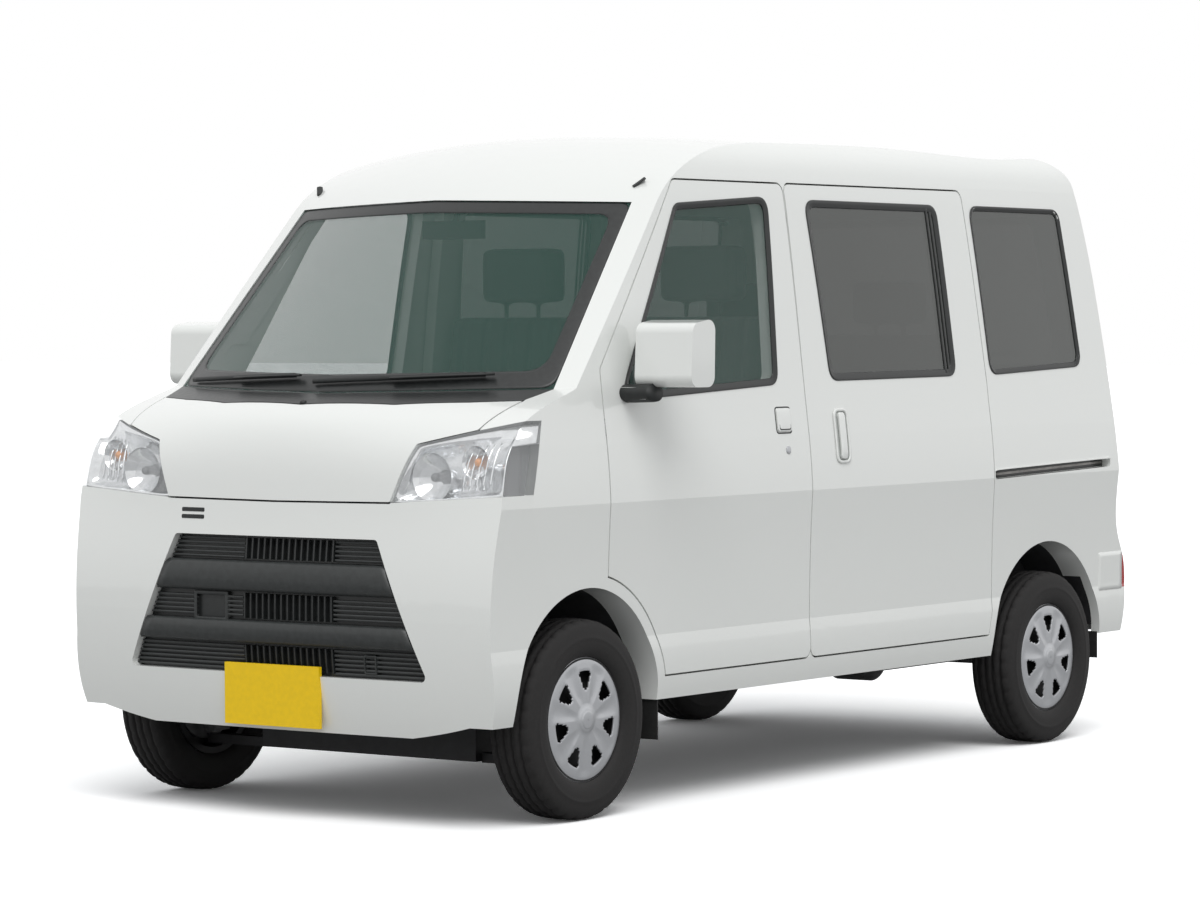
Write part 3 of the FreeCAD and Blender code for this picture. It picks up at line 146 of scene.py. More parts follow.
FINISH = {
    "paint": ("side_panel_left", "side_panel_right", "roof", "bonnet", "fenders", "front_door_left",
              "front_door_right", "sliding_door_left", "sliding_door_right", "tailgate", "fuel_lid",
              "door_mirror_left", "door_mirror_right"),
    "bumper": ("front_bumper", "front_bumper_lower", "rear_bumper", "grille_frame"),
    "trim": ("grille", "cowl"),
    "glass": ("windscreen", "front_door_glass_left", "front_door_glass_right"),
    "privacy": ("side_windows", "tailgate_glass"),
    "lens": ("headlamps",),
    "red_lens": ("tail_lamps",),
    "tyre": ("tyre_front_left", "tyre_front_right", "tyre_rear_left", "tyre_rear_right"),
    "chassis": ("chassis_rails", "crossmembers", "end_panels", "wheel_housings", "front_subframe",
                "firewall", "rear_suspension", "fuel_tank"),
    "rim": ("rim_front_left", "rim_front_right", "rim_rear_left", "rim_rear_right"),
    "cast": ("engine", "rear_axle", "knuckle_left", "knuckle_right", "propshaft"),
    "steel": ("exhaust",),
    "fabric": ("seat_cushions", "seat_backs", "headrests"),
    "dash": ("dashboard", "steering_column"),
    "carpet": ("floor",),
    "plate": ("front_plate", "rear_plate"),
    "rubber": ("mud_flaps",),
    "black": ("steering_wheel", "seat_bases", "interior_mirror"),
}
for finish, names in FINISH.items():
    for name in names:
        mesh = NODES[name].data
        mesh.materials.clear()
        mesh.materials.append(M[finish])

# ---------------------------------------------------------------- mesh helpers, in millimetres
LEFT_RIGHT = ((1, "left"), (-1, "right"))


def piece(name, points, faces, finish, body, thick=0.0, bevel=0.0, smooth=True):
    """A mesh piece from millimetre points, with an optional wall and bevel."""
    mesh = bpy.data.meshes.new(name)
    mesh.from_pydata([Vector(p) * 0.001 for p in points], [], faces)
    mesh.validate()
    shape = bmesh.new()
    shape.from_mesh(mesh)
    bmesh.ops.recalc_face_normals(shape, faces=shape.faces)
    shape.to_mesh(mesh)
    shape.free()
    for polygon in mesh.polygons:
        polygon.use_smooth = smooth
    mesh.materials.append(M[finish])
    obj = bpy.data.objects.new(name, mesh)
    bpy.context.scene.collection.objects.link(obj)
    if thick:
        wall = obj.modifiers.new("wall", "SOLIDIFY")
        wall.thickness, wall.offset = thick * 0.001, -1.0
    if bevel:
        edge = obj.modifiers.new("edge", "BEVEL")
        edge.width, edge.segments, edge.limit_method = bevel * 0.001, 2, "ANGLE"
        edge.angle_limit = math.radians(35)
    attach(obj, body)
    return obj


def grid_faces(rows, columns, closed=False):
    """Quads over rows of points, each row joined end to start where it is closed."""
    faces = []
    for i in range(rows - 1):
        for j in range(columns if closed else columns - 1):
            k = (j + 1) % columns
            faces.append((i * columns + j, i * columns + k, (i + 1) * columns + k, (i + 1) * columns + j))
    return faces


def flipped(points, side):
    """Points as they are on the left (1) or mirrored to the right (-1)."""
    return [(p[0] * side, p[1], p[2]) for p in points]


class Caster:
    """Finds the outer surface of some nodes along one direction."""

    def __init__(self, names, start, direction):
        points, faces = [], []
        for name in names:
            mesh = NODES[name].data
            base = len(points)
            points += [v.co.copy() for v in mesh.vertices]
            faces += [[base + i for i in p.vertices] for p in mesh.polygons]
        self.tree = BVHTree.FromPolygons(points, faces)
        self.start, self.direction = start, Vector(direction)

    def __call__(self, a, b, out=0.0):
        origin = Vector(self.start(a * 0.001, b * 0.001))
        hit, normal, _, _ = self.tree.ray_cast(origin, self.direction)
        if hit is None:
            hit, normal, _, _ = self.tree.find_nearest(self.start_point(a, b))
        if normal.dot(self.direction) > 0:
            normal = -normal
        return (hit + normal * out * 0.001) * 1000

    def start_point(self, a, b):
        """A point near the surface, for a ray that misses it."""
        point = Vector(self.start(a * 0.001, b * 0.001))
        return point - self.direction * point.dot(self.direction) * 0.62


on_side = Caster(["side_panel_left", "front_door_left", "front_door_glass_left", "sliding_door_left", "side_windows",
                  "fenders", "front_bumper", "front_bumper_lower", "rear_bumper", "tail_lamps"],
                 lambda y, z: (1.6, y, z), (-1, 0, 0))
on_front = Caster(["bonnet", "cowl", "windscreen", "roof", "front_bumper", "front_bumper_lower", "grille_frame",
                   "grille", "headlamps", "fenders"], lambda x, z: (x, -3.0, z), (0, 1, 0))
on_grille = Caster(["grille"], lambda x, z: (x, -3.0, z), (0, 1, 0))
on_back = Caster(["tailgate", "tailgate_glass", "rear_bumper"], lambda x, z: (x, 3.0, z), (0, -1, 0))


def inset(points, distance):
    """A polygon with every edge moved inwards by a distance."""
    area = sum(p[0] * q[1] - q[0] * p[1] for p, q in zip(points, points[1:] + points[:1]))
    sign = 1 if area > 0 else -1
    lines = []
    for p, q in zip(points, points[1:] + points[:1]):
        dx, dy = q[0] - p[0], q[1] - p[1]
        length = math.hypot(dx, dy)
        lines.append((-dy / length * sign, dx / length * sign, p))
    result = []
    for (ax, ay, p), (bx, by, q) in zip(lines[-1:] + lines[:-1], lines):
        a = ax * p[0] + ay * p[1] + distance
        b = bx * q[0] + by * q[1] + distance
        det = ax * by - ay * bx
        if abs(det) < 1e-6:
            result.append((q[0] + bx * distance, q[1] + by * distance))
        else:
            result.append(((a * by - b * ay) / det, (ax * b - bx * a) / det))
    return result


def loop(points, radius, per_edge=12, per_corner=6):
    """A closed loop around a polygon with rounded corners, always with the same number of points."""
    result = []
    count = len(points)
    arcs = []
    for i in range(count):
        p, c, q = Vector(points[i - 1]), Vector(points[i]), Vector(points[(i + 1) % count])
        u, v = (p - c).normalized(), (q - c).normalized()
        half = u.angle(v) / 2
        reach = min(radius / math.tan(half), 0.45 * (p - c).length, 0.45 * (q - c).length) if half < 1.55 else 0.01
        a, b = c + u * reach, c + v * reach
        arc = []
        for k in range(per_corner + 1):
            t = k / per_corner
            arc.append(a * (1 - t) ** 2 + c * 2 * t * (1 - t) + b * t * t)
        arcs.append(arc)
    for i in range(count):
        result += arcs[i]
        a, b = arcs[i][-1], arcs[(i + 1) % count][0]
        result += [a.lerp(b, k / per_edge) for k in range(1, per_edge)]
    return result


def ring(name, outer, inner, project, finish, bodies, out=1.5, thick=4.0, sides=True, rise=1.5):
    """A band on the skin between two matching loops, on the left side and, mirrored, on the right."""
    rows = []
    for t, lift in ((0.0, out), (0.12, out + rise), (0.5, out + rise), (0.88, out + rise), (1.0, out)):
        for p, q in zip(outer, inner):
            point = p.lerp(q, t)
            rows.append(tuple(project(point[0], point[1], lift)))
    faces = grid_faces(5, len(outer), True)
    if not sides:
        return piece(name, rows, faces, finish, bodies, thick=thick)
    for side, word in LEFT_RIGHT:
        body = bodies[0] if side > 0 else bodies[1]
        piece(f"{name}_{word}", flipped(rows, side), faces, finish, body, thick=thick)


def patch(name, outline, project, finish, bodies, out=2.0, thick=5.0, sides=True, crown=0.0, rings=5, bevel=1.0):
    """A filled pad on the skin inside a loop, a little domed."""
    middle = Vector((sum(p[0] for p in outline) / len(outline), sum(p[1] for p in outline) / len(outline)))
    points = []
    for i in range(rings):
        t = 1 - i / (rings - 1) * 0.94
        for p in outline:
            q = middle.lerp(p, t)
            points.append(tuple(project(q[0], q[1], out + crown * (1 - t * t))))
    faces = grid_faces(rings, len(outline), True)
    faces.append(tuple(range((rings - 1) * len(outline), rings * len(outline))))
    if not sides:
        return piece(name, points, faces, finish, bodies, thick=thick, bevel=bevel)
    for side, word in LEFT_RIGHT:
        body = bodies[0] if side > 0 else bodies[1]
        piece(f"{name}_{word}", flipped(points, side), faces, finish, body, thick=thick, bevel=bevel)


def lathe(name, profile, centre, finish, body, segments=96, axis="x", side=1):
    """A turned piece: (along, radius) points swept around an axis through the centre."""
    points = []
    for along, radius in profile:
        for k in range(segments):
            a = 2 * math.pi * k / segments
            offset = {"x": (side * along, radius * math.cos(a), radius * math.sin(a)),
                      "y": (radius * math.cos(a), along, radius * math.sin(a)),
                      "z": (radius * math.cos(a), radius * math.sin(a), along)}[axis]
            points.append(tuple(c + o for c, o in zip(centre, offset)))
    return piece(name, points, grid_faces(len(profile), segments, True), finish, body)


def sweep(name, path, section, finish, body, bevel=0.0):
    """A bar: a closed section of (sideways, up) points carried along a path of points."""
    points = []
    path = [Vector(p) for p in path]
    for i, p in enumerate(path):
        ahead = (path[min(i + 1, len(path) - 1)] - path[max(i - 1, 0)]).normalized()
        across = ahead.cross(Vector((0, 0, 1)))
        across = across.normalized() if across.length > 0.05 else Vector((1, 0, 0))
        up = across.cross(ahead)
        points += [tuple(p + across * a + up * b) for a, b in section]
    count = len(section)
    faces = grid_faces(len(path), count, True)
    faces += [tuple(range(count)), tuple(range((len(path) - 1) * count, len(path) * count))]
    return piece(name, points, faces, finish, body, bevel=bevel)


def oval(wide, high, count=12):
    """A closed oval section."""
    return [(wide * math.cos(2 * math.pi * k / count), high * math.sin(2 * math.pi * k / count)) for k in range(count)]


DOORS, SHELL = ("door_fl", "door_fr"), ("body", "body")

# ---------------------------------------------------------------- window surrounds
FRONT_WINDOW = [(-1082, 1116), (-318, 1150), (-277, 1676), (-736, 1648)]
SLIDING_WINDOW = [(-37, 1156), (656, 1161), (636, 1668), (-80, 1670)]
QUARTER_WINDOW = [(864, 1161), (1420, 1181), (1374, 1668), (835, 1670)]
SCREEN = [(-656, 1148), (0, 1136), (656, 1148), (586, 1654), (0, 1668), (-586, 1654)]
SCREEN_CLEAR = [(-606, 1196), (0, 1186), (606, 1196), (553, 1620), (0, 1632), (-553, 1620)]
TAIL_WINDOW = [(-545, 1160), (545, 1160), (490, 1653), (-490, 1653)]
for name, outline, bodies, band in (("front_window_seal", FRONT_WINDOW, DOORS, 15),
                                    ("sliding_window_seal", SLIDING_WINDOW, SHELL, 17),
                                    ("quarter_window_seal", QUARTER_WINDOW, SHELL, 11)):
    ring(name, loop(inset(outline, -5), 46), loop(inset(outline, band), 28), on_side, "trim", bodies)
ring("windscreen_band", loop(inset(SCREEN, 3), 30), loop(SCREEN_CLEAR, 46), on_front, "trim", "body",
     out=0.6, thick=2.0, sides=False, rise=0.4)
ring("tail_window_seal", loop(inset(TAIL_WINDOW, -5), 50), loop(inset(TAIL_WINDOW, 22), 34), on_back, "trim",
     "tailgate", sides=False)
ring("sliding_glass_frame", loop([(600, 1166), (632, 1166), (612, 1662), (580, 1662)], 4),
     loop([(612, 1170), (620, 1170), (600, 1658), (592, 1658)], 3), on_side, "trim", SHELL)

# ---------------------------------------------------------------- wheels
TYRE_HALF = [(54, 167), (60, 170), (66, 178), (70.5, 192), (72.3, 208), (72.3, 214), (73.0, 216), (73.0, 220),
             (72.0, 222), (70.5, 234), (67.5, 247), (63, 257), (57, 263), (50, 265.8), (43.5, 266.8), (42, 260.5),
             (36, 260.5), (34.5, 267.4), (24, 268.0), (16.5, 268.3), (15, 261.5), (9, 261.5), (7.5, 268.5), (0, 268.5)]
TYRE_PROFILE = [(x, r) for x, r in TYRE_HALF] + [(-x, r) for x, r in TYRE_HALF[-2::-1]]
TYRE_SEGMENTS = 180


def tyre(name, centre, body, node):
    """A tyre with grooves round it and cuts across its tread blocks, in place of a CAD tyre."""
    points = []
    for x, r in TYRE_PROFILE:
        for k in range(TYRE_SEGMENTS):
            a = 2 * math.pi * k / TYRE_SEGMENTS
            cut = 0.0
            if r > 262 and k % 5 == (0 if abs(x) > 20 else 2):
                cut = 4.5 if abs(x) > 34 else 3.0
            points.append((centre[0] + x, centre[1] + (r - cut) * math.cos(a), centre[2] + (r - cut) * math.sin(a)))
    obj = piece(name, points, grid_faces(len(TYRE_PROFILE), TYRE_SEGMENTS, True), "tyre", body)
    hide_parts(node)


SLOTS, PER_SLOT = 7, 24
CAP_RINGS = (4, 12, 22, 30, 33, 37, 46, 60, 74, 80, 86, 94, 102, 110, 118, 126, 131, 140, 150, 158, 164, 168, 171)


def cap_height(r):
    """How far a wheel cap stands out at a radius."""
    dome = 9.0 * math.cos(min(1.0, r / 171) * math.pi / 2) ** 0.8
    boss = 4.0 if r < 31 else (2.0 if r < 34 else 0.0)
    lip = -5.0 * max(0.0, (r - 158) / 13) ** 2
    return dome + boss + lip


def wheel_cap(name, centre, side, body):
    """A domed wheel cap with seven slots and a plain centre."""
    count = SLOTS * PER_SLOT
    points = []
    for r in CAP_RINGS:
        for k in range(count):
            a = 2 * math.pi * (k / count) + 0.22
            spoke = math.cos(2 * math.pi * k / PER_SLOT)
            dip = 2.2 * max(0.0, spoke) if 50 < r < 150 else 0.0
            x = centre[0] + side * (55.0 + cap_height(r) - dip)
            points.append((x, centre[1] + r * math.cos(a), centre[2] + r * math.sin(a)))
    faces = []
    for i in range(len(CAP_RINGS) - 1):
        r = CAP_RINGS[i]
        half = 0 if not 80 <= r < 131 else 3.2 + 3.2 * (r - 80) / 51 - (1.0 if r in (80, 126) else 0.0)
        for k in range(count):
            place = (k % PER_SLOT) - PER_SLOT / 2 + 0.5
            if abs(place) < half:
                continue
            n = (k + 1) % count
            faces.append((i * count + k, i * count + n, (i + 1) * count + n, (i + 1) * count + k))
    faces.append(tuple(range(count)))
    piece(name, points, faces, "silver", body, thick=4.5 * side, bevel=0.9)


FRONT_AXLE, REAR_AXLE, HALF_TRACK, AXLE_HEIGHT = -1248.5, 1201.5, 652.5, 268.5
for end, y in (("front", FRONT_AXLE), ("rear", REAR_AXLE)):
    for side, word in LEFT_RIGHT:
        body = f"wheel_{end[0]}{word[0]}"
        centre = (HALF_TRACK * side, y, AXLE_HEIGHT)
        tyre(f"tread_{end}_{word}", centre, body, f"tyre_{end}_{word}")
        wheel_cap(f"wheel_cap_{end}_{word}", centre, side, body)
        lathe(f"cap_boss_{end}_{word}", [(69.5, 2), (69.7, 20), (69.0, 24), (66.0, 27)], centre, "silver", body,
              segments=48, side=side)

# ---------------------------------------------------------------- grille
def grille_half(z):
    """Half the width of the grille opening at a height."""
    return 352 + (757 - z) * 169 / 368


def bar(name, low, high, stand):
    """A thick bar across the grille between two heights."""
    points, steps = [], 36
    section = [(0, 0), (3, 0.72), (14, 0.94), (40, 1.0), (60, 1.0), (86, 0.94), (97, 0.72), (100, 0)]
    for i in range(steps + 1):
        t = i / steps * 2 - 1
        for share, lift in section:
            z = low + (high - low) * share / 100
            x = t * (grille_half(z) - 4)
            points.append(tuple(Vector(on_grille(x, z, 1.0)) + Vector((0, -stand * lift, 0))))
    piece(name, points, grid_faces(steps + 1, len(section)), "grille_bar", "body", thick=3.0)


bar("grille_bar_upper", 605, 690, 30)
bar("grille_bar_lower", 467, 530, 30)
RIB_SECTION = ((2, -4), (-9, -3), (-10, 0), (-9, 3), (2, 4))
SLAT_SECTION = ((-3, 3), (-2.5, -13), (0, -14), (2.5, -13), (3, 3))
rib_points, rib_faces = [], []
for row in range(31):
    z = 398 + row * 12
    if 600 < z < 695 or 461 < z < 533 or z > 750:
        continue
    spans = [(-1.0, -112), (202, 1.0)]
    if 527 < z < 599:
        spans = [(-1.0, -285), (-171, -112), (202, 1.0)]
    for low, high in spans:
        x0 = -(grille_half(z) - 4) if low == -1.0 else low
        x1 = grille_half(z) - 4 if high == 1.0 else high
        steps = max(2, int((x1 - x0) / 30))
        base = len(rib_points)
        for i in range(steps + 1):
            x = x0 + (x1 - x0) * i / steps
            p = Vector(on_grille(x, z, 1.0))
            rib_points += [tuple(p + Vector((0, dy, dz))) for dy, dz in RIB_SECTION]
        rib_faces += [tuple(base + v for v in f) for f in grid_faces(steps + 1, 5)]
piece("grille_ribs", rib_points, rib_faces, "grille_bar", "body", smooth=False)
slat_points, slat_faces = [], []
for low, high in ((398, 462), (534, 602), (694, 750)):
    for k in range(15):
        x = -104 + k * 21.5
        base = len(slat_points)
        for i in range(4):
            p = Vector(on_grille(x, low + (high - low) * i / 3, 1.0))
            slat_points += [tuple(p + Vector((dx, dy, 0))) for dx, dy in SLAT_SECTION]
        slat_faces += [tuple(base + v for v in f) for f in grid_faces(4, 5)]
piece("grille_slats", slat_points, slat_faces, "trim", "body", smooth=False)
ring("sensor_frame", loop([(-290, 522), (-166, 522), (-166, 604), (-290, 604)], 4),
     loop([(-279, 533), (-177, 533), (-177, 593), (-279, 593)], 3), on_grille, "grille_bar", "body", out=10, thick=8,
     sides=False)
ring("tow_cover", loop([(300, 402), (342, 402), (342, 452), (300, 452)], 4),
     loop([(305, 407), (337, 407), (337, 447), (305, 447)], 3), on_grille, "grille_bar", "body", out=11, thick=8,
     sides=False)
for k, z in enumerate((798, 817)):
    patch(f"bumper_slot_{k}", loop([(-333, z), (-250, z), (-250, z + 11), (-333, z + 11)], 4), on_front, "black",
          "body", out=0.8, thick=3, sides=False, bevel=0)

# ---------------------------------------------------------------- headlamps
LAMP_QUAD = [Vector((394, 857)), Vector((730, 879)), Vector((721, 1068)), Vector((456, 1006))]


def lamp_point(u, v, depth):
    """A point behind the headlamp's lens, by its share across and up the lens."""
    p = LAMP_QUAD[0].lerp(LAMP_QUAD[1], u).lerp(LAMP_QUAD[3].lerp(LAMP_QUAD[2], u), v)
    return Vector(on_front(p[0], p[1], -depth))


points, steps = [], 28
for i in range(steps + 1):
    for j in range(steps + 1):
        u, v = i / steps, j / steps
        edge = (1 - (2 * u - 1) ** 6) * (1 - (2 * v - 1) ** 6)
        flute = 2.5 * math.sin(u * 42) * edge if 0.58 < u < 0.97 else 0.0
        points.append(tuple(lamp_point(u, v, 10 + 46 * edge + flute)))
for side, word in LEFT_RIGHT:
    piece(f"lamp_housing_{word}", flipped(points, side), grid_faces(steps + 1, steps + 1), "chrome", "body", thick=2.5)
    for k, (u, v, radius) in enumerate(((0.30, 0.42, 62), (0.70, 0.62, 42))):
        centre = lamp_point(u, v, 50)
        profile = [(-44 * (1 - math.cos(math.pi / 2 * r)), radius * r)
                   for r in (0.06, 0.25, 0.5, 0.7, 0.85, 0.95, 1.0)]
        profile.append((-46, radius * 1.04))
        lathe(f"lamp_bowl_{k}_{word}", profile, (centre[0] * side, centre[1] + 8, centre[2]), "chrome", "body",
              segments=48, axis="y")
        lathe(f"lamp_bulb_{k}_{word}", [(-40, 1), (-39, 7), (-34, 11), (-24, 12), (0, 12)],
              (centre[0] * side, centre[1] + 6, centre[2]), "grey" if k == 0 else "amber", "body", segments=24,
               axis="y")
    ridges = []
    for k in range(9):
        ridges.append([tuple(lamp_point(0.60 + 0.032 * k, 0.12 + 0.09 * i, 26)) for i in range(9)])
    for k, path in enumerate(ridges[::2]):
        sweep(f"lamp_flute_{k}_{word}", flipped(path, side), oval(2.6, 2.6, 8), "chrome", "body")

# ---------------------------------------------------------------- door mirrors, handles and rails
for side, word in LEFT_RIGHT:
    body = DOORS[0] if side > 0 else DOORS[1]
    glass = loop([(806, 1168), (912, 1168), (912, 1318), (806, 1318)], 30)
    flat = [(side * p[0], -943.5, p[1]) for p in glass]
    inner = [(side * (859 + (p[0] - 859) * 0.93), -941.0, 1243 + (p[1] - 1243) * 0.95) for p in glass]
    piece(f"mirror_bezel_{word}", flat + inner, grid_faces(2, len(glass), True), "trim", body, thick=2.0)
    face = [(side * (859 + (p[0] - 859) * t), -941.2 - (1 - t) * 1.5, 1243 + (p[1] - 1243) * t)
            for t in (0.94, 0.7, 0.45, 0.2) for p in glass]
    faces = grid_faces(4, len(glass), True) + [tuple(range(3 * len(glass), 4 * len(glass)))]
    piece(f"mirror_glass_{word}", face, faces, "mirror", body, thick=1.2)
    stalk = [(side * x, y, z) for x, y, z in ((706, -1047, 1133), (735, -1047, 1133), (765, -1047, 1134),
                                              (795, -1047, 1135), (801, -1047, 1136))]
    sweep(f"mirror_foot_{word}", stalk, oval(37, 25, 24), "black", body)
patch("front_handle", loop([(-341, 1012), (-271, 1012), (-271, 1078), (-341, 1078)], 10), on_side, "paint", DOORS,
      out=5.0, thick=6.0, crown=2.0, bevel=1.5)
# a thin black ring around the handle flap: painted shadow along the flap's edge
ring("front_handle_shadow_ring", loop([(-346, 1006), (-266, 1006), (-266, 1083), (-346, 1083)], 13),
     loop([(-342, 1010), (-270, 1010), (-270, 1079), (-342, 1079)], 10), on_side, "trim", DOORS, out=0.4, rise=0.2,
     thick=1.5)
patch("front_handle_grip", loop([(-335, 1016), (-277, 1016), (-277, 1036), (-335, 1036)], 8), on_side, "trim", DOORS,
      out=5.8, thick=2.0, bevel=0.5)
patch("key_lock", loop([(-305, 949), (-283, 949), (-283, 971), (-305, 971)], 11), on_side, "silver", DOORS, out=2.5,
      thick=4.0, crown=1.0)
# the handle cup is a flat pad in painted shade, a greyer white standing in for the shade inside the recess
patch("sliding_handle_cup", loop([(-43, 918), (24, 918), (24, 1068), (-43, 1068)], 22), on_side, "painted_shade", SHELL,
      out=0.7, thick=2.0, bevel=0)
ring("sliding_handle_rim", loop([(-48, 913), (29, 913), (29, 1073), (-48, 1073)], 26),
     loop([(-38, 923), (19, 923), (19, 1063), (-38, 1063)], 18), on_side, "paint", SHELL, out=1.5, rise=3.0)
patch("sliding_handle_pull", loop([(-30, 926), (2, 926), (2, 1060), (-30, 1060)], 12), on_side, "paint", SHELL,
      out=10.0, thick=9.0, crown=3.0, bevel=2.0)
RAIL = [(842, 839), (1554, 857), (1554, 880), (842, 864)]
# a black strip along the rail channel: painted shade in the recess behind the rail
patch("slide_rail_shade_strip", loop(RAIL, 5, per_edge=30), on_side, "trim", SHELL, out=1.2, thick=2.0, bevel=0)
patch("slide_rail", loop([(850, 847), (1550, 866), (1550, 873), (850, 855)], 3, per_edge=30), on_side, "steel", SHELL,
      out=2.6, thick=2.0, bevel=0.5)
patch("slide_rail_lip", loop([(842, 863), (1554, 880), (1554, 886), (842, 869)], 2, per_edge=30), on_side, "paint",
      SHELL, out=3.0, thick=3.0, bevel=0.8)

# ---------------------------------------------------------------- wipers and small parts at the front
for name, start, end in (("wiper_right", (-585, 1160), (-110, 1176)), ("wiper_left", (-30, 1160), (470, 1180))):
    path = [on_front(start[0] + (end[0] - start[0]) * i / 24, start[1] + (end[1] - start[1]) * i / 24, 11)
            for i in range(25)]
    sweep(name + "_blade", path, [(-4, -6), (4, -6), (5, 2), (2, 7), (-2, 7), (-5, 2)], "black", "body")
    arm = [on_front(start[0] + (end[0] - start[0]) * t, start[1] - 8 + (end[1] - start[1] + 4) * t,
                    17 + 10 * t * (1 - t))
           for t in (1.05, 0.9, 0.75, 0.6, 0.5)]
    sweep(name + "_arm", arm, oval(8, 3.5, 10), "black", "body")
nozzle = on_front(0, 1110, 0)
lathe("washer_nozzle", [(0, 10), (4, 9.5), (7, 6), (8, 1)], (0, nozzle[1] + 6, nozzle[2] + 1), "black", "body",
      segments=32, axis="z")
for side, word in LEFT_RIGHT:
    base = Vector(on_front(560 * side, 1700, 4))
    path = [base + Vector((side * 22 * t, 26 * t, 24 * t - 6)) for t in (0, 0.33, 0.66, 1.0)]
    sweep(f"roof_clip_{word}", path, oval(9, 4, 10), "black", "body", bevel=0.5)

# ---------------------------------------------------------------- soft seats
SEATS = {"seat_cushions": (0.010, 0.55, 0.006), "seat_backs": (0.010, 0.5, 0.006), "headrests": (0.008, 0.7, 0.003)}
for node, (voxel, fill, crown) in SEATS.items():
    source = NODES[node].data
    mesh = source.copy()
    mesh.name = node + "_pad"
    pad = bpy.data.objects.new(node + "_pad", mesh)
    bpy.context.scene.collection.objects.link(pad)
    remesh = pad.modifiers.new("remesh", "REMESH")
    remesh.mode, remesh.voxel_size = "VOXEL", voxel
    graph = bpy.context.evaluated_depsgraph_get()
    solid = bpy.data.meshes.new_from_object(pad.evaluated_get(graph))
    pad.modifiers.clear()
    pad.data = solid
    shape = bmesh.new()
    shape.from_mesh(solid)
    for _ in range(14):
        bmesh.ops.smooth_vert(shape, verts=shape.verts, factor=0.5, use_axis_x=True, use_axis_y=True, use_axis_z=True)
    shape.normal_update()
    moves = []
    for v in shape.verts:
        channel = 0.5 + 0.5 * math.cos(abs(v.co.x) * 2 * math.pi / 0.085)
        seam = -0.006 * max(0.0, channel) ** 14 if node != "headrests" else 0.0
        moves.append(v.normal * (crown + 0.003 + seam))
    for v, move in zip(shape.verts, moves):
        v.co += move
    shape.to_mesh(solid)
    shape.free()
    solid.materials.clear()
    solid.materials.append(M["fabric"])
    for polygon in solid.polygons:
        polygon.use_smooth = True
        polygon.material_index = 0
    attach(pad, "body")
    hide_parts(node)

# ---------------------------------------------------------------- details inside the cab and at the tail
patch("rear_bumper_corner", loop([(1498, 461), (1648, 461), (1648, 582), (1498, 582)], 8), on_side, "bumper", SHELL,
      out=1.2, thick=2.0, bevel=0)
lathe("steering_pad", [(-30, 34), (-12, 52), (0, 54), (8, 48), (12, 30), (13, 2)], (-330, -985, 1026), "black",
      "steering_wheel", segments=48, axis="z")
patch("tail_handle", loop([(-190, 872), (190, 872), (190, 912), (-190, 912)], 14), on_back, "paint", "tailgate",
      out=14, thick=14, sides=False, crown=4, bevel=2)
patch("tail_handle_grip", loop([(-110, 862), (110, 862), (110, 874), (-110, 874)], 5), on_back, "trim", "tailgate",
      out=5, thick=4, sides=False, bevel=0.5)
path = [on_back(-10 + 380 * t, 1190 + 26 * t, 14) for t in [k / 16 for k in range(17)]]
sweep("tail_wiper_blade", path, [(-4, -6), (4, -6), (5, 2), (2, 7), (-2, 7), (-5, 2)], "black", "tailgate")
path = [on_back(-20 + 200 * t, 1150 + 52 * t, 20) for t in (0, 0.25, 0.5, 0.75, 1.0)]
sweep("tail_wiper_arm", path, oval(9, 4, 10), "black", "tailgate")

# ---------------------------------------------------------------- stage, light and camera
CAMERA_PLACE = Vector((7.2580, -10.1487, 1.33294))
YAW, PITCH, ROLL = math.radians(36.1137), math.radians(1.7986), math.radians(-0.2622)
LENS = 124.97


def make_camera():
    """The camera that took the photograph, fitted to the wheels, corners and plate."""
    back = Vector((math.sin(YAW) * math.cos(PITCH), -math.cos(YAW) * math.cos(PITCH), math.sin(PITCH)))
    right = Vector((0, 0, 1)).cross(back).normalized()
    up = back.cross(right)
    c, s = math.cos(ROLL), math.sin(ROLL)
    right, up = right * c + up * s, up * c - right * s
    data = bpy.data.cameras.new("camera")
    data.lens, data.sensor_width, data.clip_end = LENS, 36.0, 200.0
    cam = bpy.data.objects.new("camera", data)
    bpy.context.scene.collection.objects.link(cam)
    cam.matrix_world = Matrix.Translation(CAMERA_PLACE) @ Matrix((right, up, back)).transposed().to_4x4()
    bpy.context.scene.camera = cam


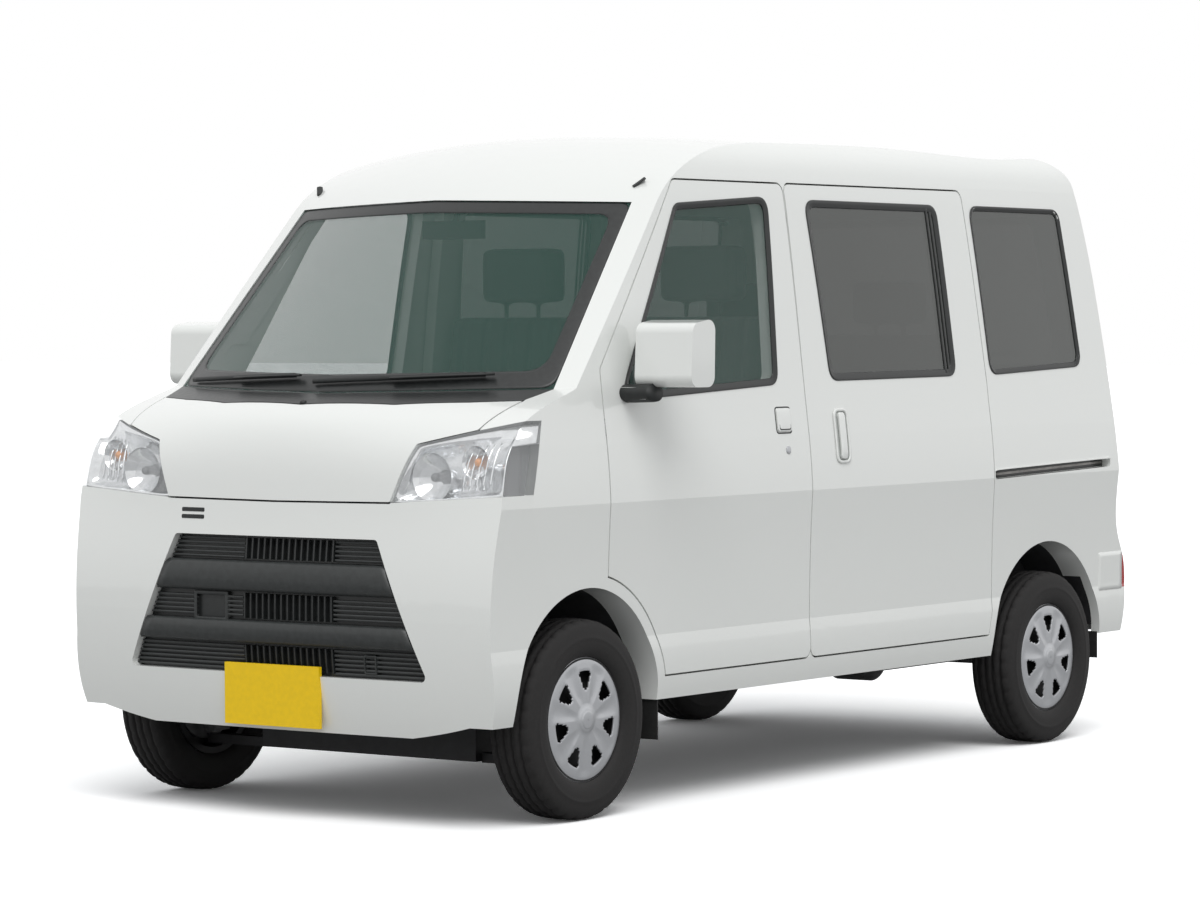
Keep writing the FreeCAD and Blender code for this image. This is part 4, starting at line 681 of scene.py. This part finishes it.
def make_stage():
    """A white floor that keeps the shadow, a white surround and one soft sun."""
    mesh = bpy.data.meshes.new("floor_sheet")
    r = 90.0
    mesh.from_pydata([(-r, -r, 0), (r, -r, 0), (r, r, 0), (-r, r, 0)], [], [(0, 1, 2, 3)])
    floor = bpy.data.objects.new("floor_sheet", mesh)
    bpy.context.scene.collection.objects.link(floor)
    mat = bpy.data.materials.new("studio_floor")
    mat.use_nodes = True
    nodes, links = mat.node_tree.nodes, mat.node_tree.links
    nodes.clear()
    out = nodes.new("ShaderNodeOutputMaterial")
    diffuse = nodes.new("ShaderNodeBsdfDiffuse")
    path = nodes.new("ShaderNodeLightPath")
    tone = nodes.new("ShaderNodeMapRange")
    socket(tone, "To Min", 0.42)
    socket(tone, "To Max", 1.35)
    links.new(path.outputs["Is Camera Ray"], tone.inputs["Value"])
    links.new(tone.outputs["Result"], diffuse.inputs["Color"])
    glow = nodes.new("ShaderNodeEmission")
    lift = nodes.new("ShaderNodeMath")
    lift.operation = "MULTIPLY"
    lift.inputs[1].default_value = 0.03
    links.new(path.outputs["Is Camera Ray"], lift.inputs[0])
    links.new(lift.outputs[0], glow.inputs["Strength"])
    add = nodes.new("ShaderNodeAddShader")
    links.new(diffuse.outputs[0], add.inputs[0])
    links.new(glow.outputs[0], add.inputs[1])
    links.new(add.outputs[0], out.inputs["Surface"])
    mesh.materials.append(mat)

    world = bpy.data.worlds.new("studio")
    bpy.context.scene.world = world
    world.use_nodes = True
    nodes, links = world.node_tree.nodes, world.node_tree.links
    nodes.clear()
    out = nodes.new("ShaderNodeOutputWorld")
    sky = nodes.new("ShaderNodeBackground")
    white = nodes.new("ShaderNodeBackground")
    socket(sky, "Color", (0.97, 0.985, 1.0, 1))
    socket(sky, "Strength", 0.62)
    socket(white, "Color", (1.0, 1.0, 1.0, 1))
    socket(white, "Strength", 1.0)
    path = nodes.new("ShaderNodeLightPath")
    seen = nodes.new("ShaderNodeMath")
    seen.operation = "MAXIMUM"
    links.new(path.outputs["Is Camera Ray"], seen.inputs[0])
    also = nodes.new("ShaderNodeMath")
    also.operation = "MAXIMUM"
    links.new(path.outputs["Is Glossy Ray"], also.inputs[0])
    links.new(path.outputs["Is Transmission Ray"], also.inputs[1])
    links.new(also.outputs[0], seen.inputs[1])
    mix = nodes.new("ShaderNodeMixShader")
    links.new(seen.outputs[0], mix.inputs["Fac"])
    links.new(sky.outputs[0], mix.inputs[1])
    links.new(white.outputs[0], mix.inputs[2])
    links.new(mix.outputs[0], out.inputs["Surface"])

    sun = bpy.data.lights.new("soft_sun", "SUN")
    sun.energy, sun.angle = 1.5, math.radians(40)
    lamp = bpy.data.objects.new("soft_sun", sun)
    bpy.context.scene.collection.objects.link(lamp)
    lamp.rotation_euler = Vector((-0.42, 0.42, -0.80)).to_track_quat("-Z", "Y").to_euler()


make_camera()
make_stage()
bpy.context.scene.view_settings.view_transform = "Standard"
